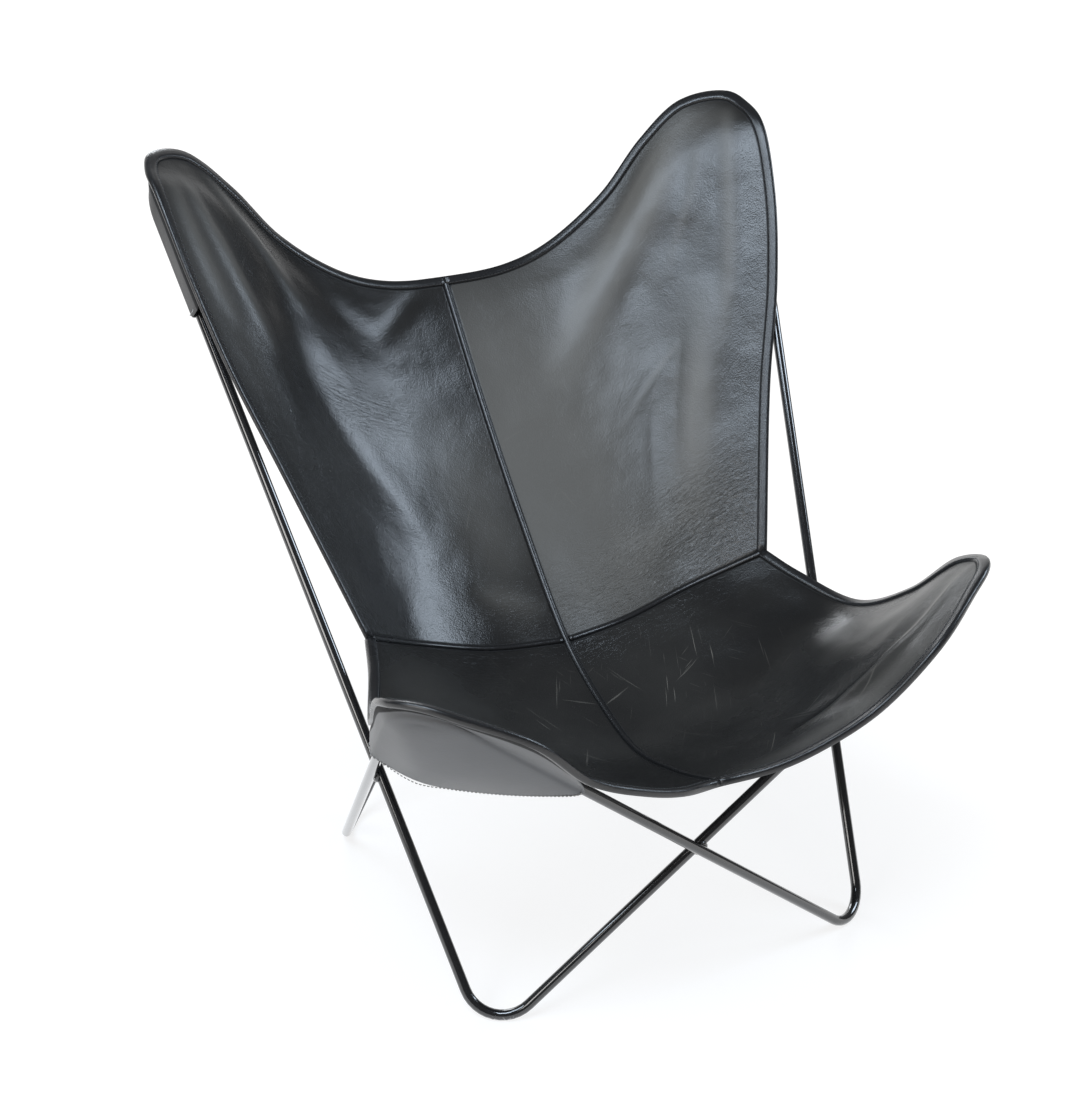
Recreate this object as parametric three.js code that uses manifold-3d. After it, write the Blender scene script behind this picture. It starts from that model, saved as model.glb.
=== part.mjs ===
import * as THREE from 'three';
import ManifoldModule from 'manifold-3d';

const wasm = await ManifoldModule();
wasm.setup();

// Butterfly sling chair. Millimetres, +Z up, the sitter faces -Y, +X is the viewer's right.
// Two bent rod loops cross four times and are welded. A leather sling hangs by four pockets.

// Fit between pieces that touch
const clearance = 0.3;

// Frame: where the straight legs of each loop would meet if the bends were sharp
const rodDiameter = 12.5;
const footBendRadius = 44;
const highBendRadius = 52;
const frontBendRadius = 44;
const footWear = 1;
const frontFoot = { x: 248.5, y: -280 };
const rearFoot = { x: 243.5, y: 186.5 };
const highTip = { x: 413.5, y: 385, z: 938 };
const frontTip = { x: 367.5, y: -338, z: 489.5 };
const rodRadius = rodDiameter / 2;
const rodSides = 16;
const bendSteps = 12;
const footPasses = 4;
const tipLegRadii = 12;

// Welds: a flat bead in the angle of each crossing
const weldReach = 9.5;
const weldHeight = 4.5;
const weldSegments = 16;
const weldRings = 8;
const weldCutSides = 24;
const weldCutReaches = 4;

// Leather
const leatherThickness = 3;
const pocketThickness = 2.5;

// Fixed marks of the leather's edge and seams, right half
const topMiddle = { x: 0, y: 383, z: 643 };
const waist = { x: 267, y: 5, z: 361 };
const frontMiddle = { x: 0, y: -339, z: 288 };
const crossing = { x: 0, y: 27, z: 286 };

// Each run of the edge between a fixed mark and a tip: the hang off its straight line, and its marks
// as shares of the way along and of that hang
const topHang = { x: 0, y: -10, z: -75 };
const topShares = [
  { along: 0.2, y: 0.54, z: 0.7 },
  { along: 0.35, y: 0.77, z: 1 },
  { along: 0.54, y: 0.91, z: 0.99 },
  { along: 0.68, y: 1.03, z: 0.64 },
];
const sideHang = { x: 21, y: -47, z: 0 };
const sideShares = [
  { along: 0.68, x: 0.96, y: 1 },
  { along: 0.51, x: 1.02, y: 0.76 },
  { along: 0.31, x: 0.57, y: 0.34 },
];
const armHang = { x: 16, y: 0, z: -72 };
const armShares = [
  { along: 0.15, x: 0.15, z: 0.43 },
  { along: 0.38, x: 0.81, z: 1 },
  { along: 0.59, x: 1, z: 0.77 },
];
const frontHang = { x: 0, y: -45, z: -27 };
const frontShares = [
  { along: 0.66, y: 1, z: 0 },
  { along: 0.48, y: 0.88, z: 1 },
  { along: 0.3, y: 0.74, z: 0.9 },
  { along: 0.155, y: 0.47, z: 0.6 },
];

// The edge round each tip: its most reach beyond the rod's centre line and rise above the plane of
// the loop, and its marks as turns about the bend's centre with shares of those two
const highRim = { reach: 29, rise: 20 };
const highRimShares = [
  { turn: -36, reach: 0.97, rise: 0.3 },
  { turn: 6, reach: 1, rise: 0.15 },
  { turn: 28, reach: 0.84, rise: 0.4 },
  { turn: 57, reach: 0.76, rise: 1 },
];
const frontRim = { reach: 26, rise: 12 };
const frontRimShares = [
  { turn: -67, reach: 0.77, rise: 1 },
  { turn: -25, reach: 0.85, rise: 0.25 },
  { turn: 8, reach: 0.92, rise: 0 },
  { turn: 41, reach: 1, rise: -0.25 },
];
const tipStart = 22;

// Seams, hung in the same way: the middle one lies in the chair's plane of symmetry, the cross one
// runs to the waist
const backSeamHang = { x: 0, y: 17, z: 0 };
const backSeamShares = [
  { along: 0.64, y: 0.92 },
  { along: 0.31, y: 1 },
];
const seatSeamHang = { x: 0, y: 0, z: -59 };
const seatSeamShares = [
  { along: 0.25, z: 0.69 },
  { along: 0.49, z: 1 },
  { along: 0.77, z: 0.585 },
];
const crossSeamHang = { x: 0, y: 31, z: -25 };
const crossSeamShares = [
  { along: 0.34, y: 0.82, z: 1 },
  { along: 0.67, y: 1, z: 0.94 },
];

// Welts: raised cords sewn into the seams
const weltDiameter = 6.4;
const weltRise = 1;
const weltGap = 0.8;
const weltSides = 8;
const weltSteps = 34;
const weltLeanShares = { x: 0, y: -1, z: 2 };

// Edge binding: a folded strip over the cut edge
const bindingLeather = 1.4;
const bindingLeg = 7;
const bindingSlack = 0.7;
const bindingNoseShare = 0.45;
const legSteps = 3;

// Pull folds that run down from each tip
const foldDepth = 3.5;
const foldFade = 260;
const foldCount = 5;
const foldFreeShare = 0.25;

// Pockets: how far each one's mouth lies along the rods from the bend, and its slack round the rod
const backPocket = { sideDepth: 188, farDepth: 188, lip: 14, sag: 8, fullShare: 0.5 };
const frontPocket = { sideDepth: 196, farDepth: 226, lip: 27, sag: 11, fullShare: 0.7 };
const pocketSlack = 0.6;
const pocketGap = 0.9;
const sleeveTilt = 0.35;
const sleeveHalfShare = 0.55;
const sleeveSideShare = 1.08;
const sleeveCornerShare = 1.12;
const sleeveBackShare = 1.04;
const pocketStations = 11;
const pocketMarks = 4;

// Reading of the drawn curves, and mesh counts of the panels with closer lines near a tip
const curveSteps = 40;
const panelColumns = 18;
const backRows = 20;
const seatRows = 17;
const tipEase = 1.5;

// How the leather is laid on the rods: passes, the least hold of a mark, where each cell is tested,
// how often and how far the lift is evened, and the last passes that leave it uneven
const restPasses = 48;
const restGrip = 0.15;
const restShares = [0, 0.25, 0.5, 0.75, 1];
const evenEvery = 3;
const evenShare = 0.9;
const evenStop = 12;

const paint = (name, color, roughness, metalness) => (
  new THREE.MeshStandardMaterial({ name, color, roughness, metalness })
);
const black = paint('frame_black', 0x0c0c0d, 0.22, 0.1);
const beadBlack = paint('weld_black', 0x101011, 0.3, 0.1);
const hide = paint('sling_leather', 0x1b1b1d, 0.48, 0);
const trim = paint('trim_leather', 0x161617, 0.42, 0);
const flesh = paint('pocket_leather', 0x242426, 0.6, 0);

const vector = (p) => new THREE.Vector3(p.x, p.y, p.z);
const sided = (p, side) => new THREE.Vector3(p.x * side, p.y, p.z);
const mix = (a, b, share) => a.clone().lerp(b, share);

// Closed mesh from points and faces
function solid(name, points, faces, material) {
  const geometry = new THREE.BufferGeometry();
  geometry.setAttribute('position', new THREE.Float32BufferAttribute(points.flatMap((p) => p.toArray()), 3));
  geometry.setIndex(faces.flat());
  geometry.computeVertexNormals();
  const mesh = new THREE.Mesh(geometry, material);
  mesh.name = name;
  return mesh;
}

// Arc that rounds the corner between two straight legs
function roundCorner(before, corner, after, radius) {
  const inLeg = before.clone().sub(corner).normalize();
  const outLeg = after.clone().sub(corner).normalize();
  const halfAngle = inLeg.angleTo(outLeg) / 2;
  const inward = inLeg.clone().add(outLeg).normalize();
  const across = outLeg.clone().sub(inLeg).normalize();
  const centre = corner.clone().addScaledVector(inward, radius / Math.sin(halfAngle));
  const halfTurn = Math.PI / 2 - halfAngle;
  const points = [];
  for (let i = 0; i <= bendSteps; i += 1) {
    const turn = THREE.MathUtils.lerp(-halfTurn, halfTurn, i / bendSteps);
    const point = centre.clone().addScaledVector(inward, -radius * Math.cos(turn));
    points.push(point.addScaledVector(across, radius * Math.sin(turn)));
  }
  return { points, centre, outward: inward.clone().negate(), across, radius, inLeg, outLeg };
}

// One loop: its high tip and front foot on one side, its front tip and rear foot on the other.
// The foot corners lie below the floor by what their bends need to touch it.
function rodLoop(side) {
  const stagger = new THREE.Vector3(0, -side * (rodRadius + clearance), 0);
  const high = sided(highTip, side).add(stagger);
  const front = sided(frontTip, -side).add(stagger);
  const frontGround = new THREE.Vector3(frontFoot.x * side, frontFoot.y, 0).add(stagger);
  const rearGround = new THREE.Vector3(-rearFoot.x * side, rearFoot.y, 0).add(stagger);
  const soleHeight = rodRadius - footWear;
  let bends;
  for (let pass = 0; pass < footPasses; pass += 1) {
    bends = {
      high: roundCorner(rearGround, high, frontGround, highBendRadius),
      frontFoot: roundCorner(high, frontGround, front, footBendRadius),
      front: roundCorner(frontGround, front, rearGround, frontBendRadius),
      rearFoot: roundCorner(front, rearGround, high, footBendRadius),
    };
    frontGround.z += soleHeight - Math.min(...bends.frontFoot.points.map((p) => p.z));
    rearGround.z += soleHeight - Math.min(...bends.rearFoot.points.map((p) => p.z));
  }
  const path = Object.values(bends).flatMap((bend) => bend.points);
  return { path, bends, high, front, frontGround, rearGround };
}

// Round rod swept along a closed path, worn flat where it stands on the floor
function sweepLoop(path, radius, sides) {
  const count = path.length;
  const tangents = path.map((_, i) => {
    const ahead = path[(i + 1) % count].clone();
    return ahead.sub(path[(i + count - 1) % count]).normalize();
  });
  const normals = [new THREE.Vector3(0, 0, 1).cross(tangents[0]).normalize()];
  const carry = (normal, from, to) => {
    const turn = new THREE.Quaternion().setFromUnitVectors(from, to);
    return normal.clone().applyQuaternion(turn);
  };
  for (let i = 1; i < count; i += 1) {
    normals.push(carry(normals[i - 1], tangents[i - 1], tangents[i]));
  }
  const closing = carry(normals[count - 1], tangents[count - 1], tangents[0]);
  const sideways = tangents[0].clone().cross(normals[0]);
  const pitch = (2 * Math.PI) / sides;
  const slip = Math.atan2(closing.dot(sideways), closing.dot(normals[0]));
  const skip = Math.round(slip / pitch);
  const twist = slip - skip * pitch;
  const points = [];
  const faces = [];
  path.forEach((centre, i) => {
    const binormal = tangents[i].clone().cross(normals[i]);
    for (let k = 0; k < sides; k += 1) {
      const angle = k * pitch - (twist * i) / count;
      const point = centre.clone().addScaledVector(normals[i], radius * Math.cos(angle));
      point.addScaledVector(binormal, radius * Math.sin(angle));
      point.z = Math.max(point.z, 0);
      points.push(point);
    }
  });
  for (let i = 0; i < count; i += 1) {
    const next = (i + 1) % count;
    const shift = next === 0 ? skip : 0;
    for (let k = 0; k < sides; k += 1) {
      const a = i * sides + k;
      const b = i * sides + ((k + 1) % sides);
      const c = next * sides + ((k + 1 + shift + sides) % sides);
      const d = next * sides + ((k + shift + sides) % sides);
      faces.push([a, b, c], [a, c, d]);
    }
  }
  return { points, faces };
}

// Nearest points of two straight legs
function nearestOnLegs(a, b, c, d) {
  const first = b.clone().sub(a);
  const second = d.clone().sub(c);
  const normal = first.clone().cross(second);
  const gap = c.clone().sub(a);
  const alongFirst = gap.clone().cross(second).dot(normal) / normal.lengthSq();
  const alongSecond = gap.clone().cross(first).dot(normal) / normal.lengthSq();
  const onFirst = a.clone().addScaledVector(first, alongFirst);
  const onSecond = c.clone().addScaledVector(second, alongSecond);
  [first, second, normal].forEach((axis) => axis.normalize());
  return { onFirst, onSecond, first, second, normal };
}

function toManifold(geometry) {
  const index = Array.from(geometry.index.array);
  const cells = new Map();
  const vertices = [];
  const remap = [];
  const position = geometry.attributes.position;
  for (let i = 0; i < position.count; i += 1) {
    const point = [position.getX(i), position.getY(i), position.getZ(i)];
    const key = point.map((value) => Math.round(value * 1e4)).join();
    if (!cells.has(key)) {
      cells.set(key, vertices.length / 3);
      vertices.push(...point);
    }
    remap.push(cells.get(key));
  }
  const faces = [];
  for (let i = 0; i < index.length; i += 3) {
    const face = [remap[index[i]], remap[index[i + 1]], remap[index[i + 2]]];
    if (new Set(face).size === 3) faces.push(...face);
  }
  const data = { numProp: 3, vertProperties: new Float32Array(vertices), triVerts: new Uint32Array(faces) };
  return new wasm.Manifold(new wasm.Mesh(data));
}

// Weld bead: a flat ellipsoid at the crossing, with both rods cut out of it
function weldBead(name, legs) {
  const { onFirst, onSecond, first, second, normal } = legs;
  const centre = mix(onFirst, onSecond, 0.5);
  const along = first.clone().add(second).normalize();
  const across = normal.clone().cross(along);
  const bead = new THREE.SphereGeometry(1, weldSegments, weldRings);
  const basis = new THREE.Matrix4().makeBasis(along, across, normal).setPosition(centre);
  bead.applyMatrix4(new THREE.Matrix4().makeScale(weldReach, weldReach, weldHeight));
  bead.applyMatrix4(basis);
  let shape = toManifold(bead);
  const cutRadius = rodRadius + clearance;
  [[onFirst, first], [onSecond, second]].forEach(([point, direction]) => {
    const rod = new THREE.CylinderGeometry(cutRadius, cutRadius, weldCutReaches * weldReach, weldCutSides);
    const turn = new THREE.Quaternion().setFromUnitVectors(new THREE.Vector3(0, 1, 0), direction);
    rod.applyMatrix4(new THREE.Matrix4().makeRotationFromQuaternion(turn).setPosition(point));
    shape = shape.subtract(toManifold(rod));
  });
  const result = shape.getMesh();
  const points = [];
  for (let i = 0; i < result.vertProperties.length; i += 3) {
    points.push(new THREE.Vector3(...result.vertProperties.subarray(i, i + 3)));
  }
  const faces = [];
  for (let i = 0; i < result.triVerts.length; i += 3) faces.push([...result.triVerts.subarray(i, i + 3)]);
  return solid(name, points, faces, beadBlack);
}

// Curve cut to a stretch between two of its own points, read by share of its length
function stretch(points, from, to) {
  const curve = new THREE.CatmullRomCurve3(points, false, 'centripetal');
  const fine = [];
  const steps = curveSteps * Math.abs(to - from);
  for (let i = 0; i <= steps; i += 1) {
    fine.push(curve.getPoint(THREE.MathUtils.lerp(from, to, i / steps) / (points.length - 1)));
  }
  const lengths = [0];
  for (let i = 1; i < fine.length; i += 1) lengths.push(lengths[i - 1] + fine[i].distanceTo(fine[i - 1]));
  const total = lengths[lengths.length - 1];
  const at = (share) => {
    const goal = share * total;
    let i = 1;
    while (i < lengths.length - 1 && lengths[i] < goal) i += 1;
    return mix(fine[i - 1], fine[i], (goal - lengths[i - 1]) / (lengths[i] - lengths[i - 1]));
  };
  return { at, length: total };
}

// Axes of a tip: outward along its bisector, across towards the side leg, and up to the sitter
function tipAxes(bend, side, isHigh) {
  const outward = bend.outward.clone();
  let across = bend.across.clone();
  const sideLeg = isHigh ? 1 : -1;
  if (Math.sign(across.x) !== side * sideLeg) across = across.negate();
  let up = outward.clone().cross(across);
  if (up.z < 0) up = up.negate();
  return { centre: bend.centre, outward, across, up, radius: bend.radius };
}

function tipPoint(tip, rim, mark) {
  const turn = THREE.MathUtils.degToRad(mark.turn);
  const reach = tip.radius + rim.reach * mark.reach;
  const point = tip.centre.clone().addScaledVector(tip.outward, reach * Math.cos(turn));
  point.addScaledVector(tip.across, reach * Math.sin(turn));
  return point.addScaledVector(tip.up, rim.rise * mark.rise);
}

// Four-sided patch between four curves
function patch(bottom, top, inner, outer, u, v) {
  const b = bottom.at(u);
  const t = top.at(u);
  const i = inner.at(v);
  const o = outer.at(v);
  const corners = mix(mix(bottom.at(0), bottom.at(1), u), mix(top.at(0), top.at(1), u), v);
  return mix(b, t, v).add(mix(i, o, u)).sub(corners);
}

// Step used to read a direction off a curve
const probe = 0.02;

// Marks of a run between two ends, hung off its straight line
const hung = (from, to, hang, marks) => marks.map(({ along, ...shares }) => {
  const at = (axis) => THREE.MathUtils.lerp(from[axis], to[axis], along) + hang[axis] * (shares[axis] ?? 0);
  return { x: at('x'), y: at('y'), z: at('z') };
});
const topEdge = hung(topMiddle, highTip, topHang, topShares);
const sideEdge = hung(waist, highTip, sideHang, sideShares);
const armEdge = hung(waist, frontTip, armHang, armShares);
const frontEdge = hung(frontMiddle, frontTip, frontHang, frontShares);
const backSeam = hung(crossing, topMiddle, backSeamHang, backSeamShares);
const seatSeam = hung(crossing, frontMiddle, seatSeamHang, seatSeamShares);
const crossSeam = hung(crossing, waist, crossSeamHang, crossSeamShares);

// Share of a line that keeps a distance from the seam it starts on, measured square to the seam
function insetShare(line, seam, distance) {
  const step = line(probe).sub(line(0));
  const tangent = seam(probe).sub(seam(-probe)).normalize();
  const square = step.addScaledVector(tangent, -step.dot(tangent)).length();
  return (distance * probe) / square;
}

// Spacing of a panel's lines: closer towards its tip
const easeIn = (share) => 1 - (1 - share) ** tipEase;

// Grid of one panel, set in from its seams, with closer lines near the tip
function panelGrid(edges, columns, rows, tipAtTop) {
  const { bottom, top, inner, outer } = edges;
  const seamInset = weltDiameter / 2 + weltGap;
  const limit = (share) => THREE.MathUtils.clamp(share, 0, 1);
  const at = (u, v) => patch(bottom, top, inner, outer, limit(u), limit(v));
  const seamAt = tipAtTop ? 0 : 1;
  const inward = tipAtTop ? 1 : -1;
  const grid = [];
  for (let j = 0; j <= rows; j += 1) {
    const row = [];
    for (let i = 0; i <= columns; i += 1) {
      const u = easeIn(i / columns);
      const v = tipAtTop ? easeIn(j / rows) : 1 - easeIn(1 - j / rows);
      const uInset = insetShare((s) => at(s, v), (s) => at(0, v + s), seamInset);
      const uSet = THREE.MathUtils.lerp(uInset, 1, u);
      const down = (s) => at(uSet, seamAt + inward * s);
      const vInset = insetShare(down, (s) => at(uSet + s, seamAt), seamInset);
      const away = tipAtTop ? v : 1 - v;
      row.push(at(uSet, seamAt + inward * THREE.MathUtils.lerp(vInset, 1, away)));
    }
    grid.push(row);
  }
  return grid;
}

// Pull folds: soft ridges that fan out from the tip and fade along the panel
function addFolds(grid, tip) {
  const apex = tip.centre.clone().addScaledVector(tip.outward, tip.radius + tipStart);
  grid.forEach((row, j) => {
    row.forEach((point, i) => {
      const away = point.clone().sub(apex);
      const distance = away.length();
      const turn = Math.atan2(away.dot(tip.across), -away.dot(tip.outward));
      const nearEdge = (n, count) => Math.min(1, Math.min(n, count - 1 - n) / ((count - 1) * foldFreeShare));
      const free = nearEdge(i, row.length) * nearEdge(j, grid.length);
      const fade = Math.exp(-((distance / foldFade) ** 2)) * (1 - Math.exp(-((distance / tipStart) ** 2)));
      const wave = Math.cos(foldCount * turn);
      point.addScaledVector(tip.up, foldDepth * wave * fade * free);
    });
  });
}

// Lifts the leather until it lies on the rods of its tip, and evens the lift between its lines
function restOnRods(grid, tip, legs, reach) {
  const rows = grid.length - 1;
  const columns = grid[0].length - 1;
  const lifts = grid.map((row) => row.map(() => 0));
  const isFree = (j, i) => j % rows !== 0 && i % columns !== 0;
  const raised = (j, i) => grid[j][i].clone().addScaledVector(tip.up, lifts[j][i]);
  const needAt = (point) => {
    let need = 0;
    legs.forEach(([start, end]) => {
      const direction = end.clone().sub(start);
      const travel = point.clone().sub(start).dot(direction) / direction.lengthSq();
      const along = THREE.MathUtils.clamp(travel, 0, 1);
      const away = point.clone().sub(start.clone().addScaledVector(direction, along));
      const height = away.dot(tip.up);
      const aside = away.addScaledVector(tip.up, -height).length();
      if (aside < reach) need = Math.max(need, Math.sqrt(reach * reach - aside * aside) - height);
    });
    return need;
  };
  for (let pass = 0; pass < restPasses; pass += 1) {
    for (let j = 0; j < rows; j += 1) {
      for (let i = 0; i < columns; i += 1) {
        const marks = [[j, i], [j, i + 1], [j + 1, i + 1], [j + 1, i]];
        restShares.forEach((s) => restShares.forEach((t) => {
          const [a, b, c, d] = marks.map(([r, k]) => raised(r, k));
          const need = needAt(mix(mix(a, b, s), mix(d, c, s), t));
          if (need <= 0) return;
          const weights = [(1 - s) * (1 - t), s * (1 - t), s * t, (1 - s) * t];
          const held = weights.map((weight, k) => (isFree(...marks[k]) ? weight : 0));
          const total = Math.max(restGrip, held.reduce((sum, weight) => sum + weight * weight, 0));
          marks.forEach(([r, k], n) => {
            lifts[r][k] += (need * held[n]) / total;
          });
        }));
      }
    }
    if (pass % evenEvery === 0 && pass < restPasses - evenStop) {
      const old = lifts.map((row) => [...row]);
      for (let j = 1; j < rows; j += 1) {
        for (let i = 1; i < columns; i += 1) {
          const around = (old[j - 1][i] + old[j + 1][i] + old[j][i - 1] + old[j][i + 1]) / 4;
          lifts[j][i] = Math.max(old[j][i], THREE.MathUtils.lerp(old[j][i], around, evenShare));
        }
      }
    }
  }
  grid.forEach((row, j) => row.forEach((point, i) => point.addScaledVector(tip.up, lifts[j][i])));
}

// Straight pieces of the rod path near a tip
function rodLegs(bend) {
  const legs = [];
  for (let i = 1; i < bend.points.length; i += 1) legs.push([bend.points[i - 1], bend.points[i]]);
  const run = tipLegRadii * bend.radius;
  legs.push([bend.points[0], bend.points[0].clone().addScaledVector(bend.inLeg, run)]);
  const last = bend.points[bend.points.length - 1];
  legs.push([last, last.clone().addScaledVector(bend.outLeg, run)]);
  return legs;
}

// Vertex normals of an open sheet, turned to one side
function sheetNormals(points, faces) {
  const normals = points.map(() => new THREE.Vector3());
  faces.forEach(([a, b, c]) => {
    const normal = points[b].clone().sub(points[a]).cross(points[c].clone().sub(points[a]));
    [a, b, c].forEach((k) => normals[k].add(normal));
  });
  return normals.map((normal) => normal.normalize());
}

// Gives an open sheet its thickness and closes it along its free edges
function thicken(name, points, faces, thickness, material) {
  const normals = sheetNormals(points, faces);
  const count = points.length;
  const above = points.map((p, k) => p.clone().addScaledVector(normals[k], thickness / 2));
  const below = points.map((p, k) => p.clone().addScaledVector(normals[k], -thickness / 2));
  const edges = new Map();
  faces.forEach((face) => {
    face.forEach((a, k) => {
      const b = face[(k + 1) % 3];
      const twin = `${b}_${a}`;
      if (edges.has(twin)) edges.delete(twin);
      else edges.set(`${a}_${b}`, [a, b]);
    });
  });
  const all = [...faces];
  faces.forEach(([a, b, c]) => all.push([a + count, c + count, b + count]));
  edges.forEach(([a, b]) => all.push([b, a, a + count], [b, a + count, b + count]));
  return solid(name, [...above, ...below], all, material);
}

// Grid as points and faces whose front looks at the sitter
function gridSheet(grid, flip) {
  const columns = grid[0].length;
  const points = grid.flat();
  const faces = [];
  for (let j = 0; j < grid.length - 1; j += 1) {
    for (let i = 0; i < columns - 1; i += 1) {
      const a = j * columns + i;
      const [b, c, d] = [a + 1, a + columns + 1, a + columns];
      if (flip) faces.push([a, c, b], [a, d, c]);
      else faces.push([a, b, c], [a, c, d]);
    }
  }
  return { points, faces };
}

// Section swept along an open path with a given frame at each station, closed by its end caps
function sweepSection(name, stations, sectionAt, material) {
  const outline = sectionAt(stations[0]).map(([a, b]) => new THREE.Vector2(a, b));
  const sides = outline.length;
  const points = stations.flatMap(({ at, out, up, ...bend }) => sectionAt(bend).map(([a, b]) => (
    at.clone().addScaledVector(out, a).addScaledVector(up, b)
  )));
  const faces = [];
  for (let i = 0; i < stations.length - 1; i += 1) {
    for (let k = 0; k < sides; k += 1) {
      const a = i * sides + k;
      const b = i * sides + ((k + 1) % sides);
      faces.push([a, b, b + sides], [a, b + sides, a + sides]);
    }
  }
  const last = (stations.length - 1) * sides;
  THREE.ShapeUtils.triangulateShape(outline, []).forEach(([a, b, c]) => {
    faces.push([a, c, b], [a + last, b + last, c + last]);
  });
  const { at, out, up } = stations[0];
  const along = stations[1].at.clone().sub(at);
  if (out.clone().cross(up).dot(along) < 0) faces.forEach((face) => face.reverse());
  return solid(name, points, faces, material);
}

// Folded binding: a channel whose two legs hold the leather's edge, bent by how far the leather
// rises or drops under each leg
function bindingSection({ rise, drop }) {
  const slot = leatherThickness / 2 + bindingSlack;
  const wall = slot + bindingLeather;
  const cheek = wall * bindingNoseShare;
  const nose = bindingSlack + bindingLeather;
  const shoulder = bindingSlack + bindingLeather * bindingNoseShare;
  return [
    [-bindingLeg, slot + rise], [-bindingLeg, wall + rise], [shoulder, wall], [nose, cheek],
    [nose, -cheek], [shoulder, -wall], [-bindingLeg, -wall + drop],
    [-bindingLeg, -slot + drop], [bindingSlack, -slot], [bindingSlack, slot],
  ].reverse();
}

// Height of a sheet's middle over a point, along a direction
function heightOver(sheet, point, up) {
  const ray = new THREE.Ray(point.clone().addScaledVector(up, -bindingLeg), up);
  const hit = new THREE.Vector3();
  let nearest = Infinity;
  sheet.faces.forEach((face) => {
    const [a, b, c] = face.map((k) => sheet.points[k]);
    if (!ray.intersectTriangle(a, b, c, false, hit)) return;
    const height = hit.clone().sub(point).dot(up);
    if (Math.abs(height) < Math.abs(nearest)) nearest = height;
  });
  return Math.abs(nearest) < bindingLeg ? nearest : null;
}

// Highest and lowest slope of the leather under a binding's legs, as heights at the legs' ends
function slopesUnder(sheet, { at, out, up }) {
  const slopes = [];
  for (let step = 1; step <= legSteps; step += 1) {
    const inward = (bindingLeg * step) / legSteps;
    const height = heightOver(sheet, at.clone().addScaledVector(out, -inward), up);
    if (height !== null) slopes.push((height * bindingLeg) / inward);
  }
  return slopes.length ? { rise: Math.max(...slopes), drop: Math.min(...slopes) } : { rise: 0, drop: 0 };
}

// Stations of a binding along an ordered list of a panel's edge points
function edgeStations(sheet, order, centroid) {
  const normals = sheetNormals(sheet.points, sheet.faces);
  const last = order.length - 1;
  const stations = order.map((k, n) => {
    const before = sheet.points[order[Math.max(n - 1, 0)]];
    const after = sheet.points[order[Math.min(n + 1, last)]];
    const tangent = after.clone().sub(before).normalize();
    const up = normals[k].clone().addScaledVector(tangent, -normals[k].dot(tangent)).normalize();
    const out = tangent.clone().cross(up);
    if (out.dot(sheet.points[k].clone().sub(centroid)) < 0) out.negate();
    return { at: sheet.points[k].clone(), out, up };
  });
  stations.forEach((station) => Object.assign(station, slopesUnder(sheet, station)));
  for (let n = 0; n < last; n += 1) {
    const [a, b] = [stations[n], stations[n + 1]];
    const between = {
      at: mix(a.at, b.at, 0.5),
      out: mix(a.out, b.out, 0.5).normalize(),
      up: mix(a.up, b.up, 0.5).normalize(),
    };
    const { rise, drop } = slopesUnder(sheet, between);
    const over = Math.max(0, rise - (a.rise + b.rise) / 2);
    const under = Math.min(0, drop - (a.drop + b.drop) / 2);
    [a, b].forEach((station) => {
      station.rise += over;
      station.drop += under;
    });
  }
  return stations;
}

// End station moved on to a cutting plane, with its axes slid into that plane
function mitred(end, next, cutPoint, cutNormal) {
  const tangent = end.at.clone().sub(next.at).normalize();
  const along = tangent.dot(cutNormal);
  const slide = (axis) => axis.clone().addScaledVector(tangent, -axis.dot(cutNormal) / along);
  const travel = cutPoint.clone().sub(end.at).dot(cutNormal) / along;
  const at = end.at.clone().addScaledVector(tangent, travel);
  return { ...end, at, out: slide(end.out), up: slide(end.up) };
}

// Round cord along a seam
function welt(name, curve, shares) {
  const radius = weltDiameter / 2;
  const lean = vector(weltLeanShares).normalize();
  const section = [];
  for (let k = 0; k < weltSides; k += 1) {
    const angle = (2 * Math.PI * (k + 0.5)) / weltSides;
    section.push([radius * Math.cos(angle), radius * Math.sin(angle)]);
  }
  const reach = 1 / (2 * shares.length);
  const stations = shares.map((share) => {
    const at = curve.at(share);
    const ahead = curve.at(Math.min(1, share + reach));
    const behind = curve.at(Math.max(0, share - reach));
    const tangent = ahead.sub(behind).normalize();
    const up = lean.clone().addScaledVector(tangent, -lean.dot(tangent)).normalize();
    const out = tangent.clone().cross(up);
    return { at: at.addScaledVector(up, weltRise), out, up };
  });
  return sweepSection(name, stations, () => section, trim);
}

// Lowers a point of a pocket until it hangs clear below its panel
function keepBelow(point, tip, panel) {
  const apart = (leatherThickness + pocketThickness) / 2 + pocketGap;
  const flat = (p) => {
    const away = p.clone().sub(tip.centre);
    return new THREE.Vector3(away.dot(tip.outward), away.dot(tip.across), 0);
  };
  const spot = flat(point);
  panel.faces.forEach((face) => {
    const corners = face.map((k) => panel.points[k]);
    const triangle = new THREE.Triangle(...corners.map(flat));
    const shares = triangle.getBarycoord(spot, new THREE.Vector3());
    if (!shares || Math.min(shares.x, shares.y, shares.z) < 0) return;
    const over = new THREE.Vector3();
    corners.forEach((corner, n) => over.addScaledVector(corner, shares.getComponent(n)));
    const excess = point.clone().sub(over).dot(tip.up) + apart;
    if (excess > 0) point.addScaledVector(tip.up, -excess);
  });
}

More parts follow.
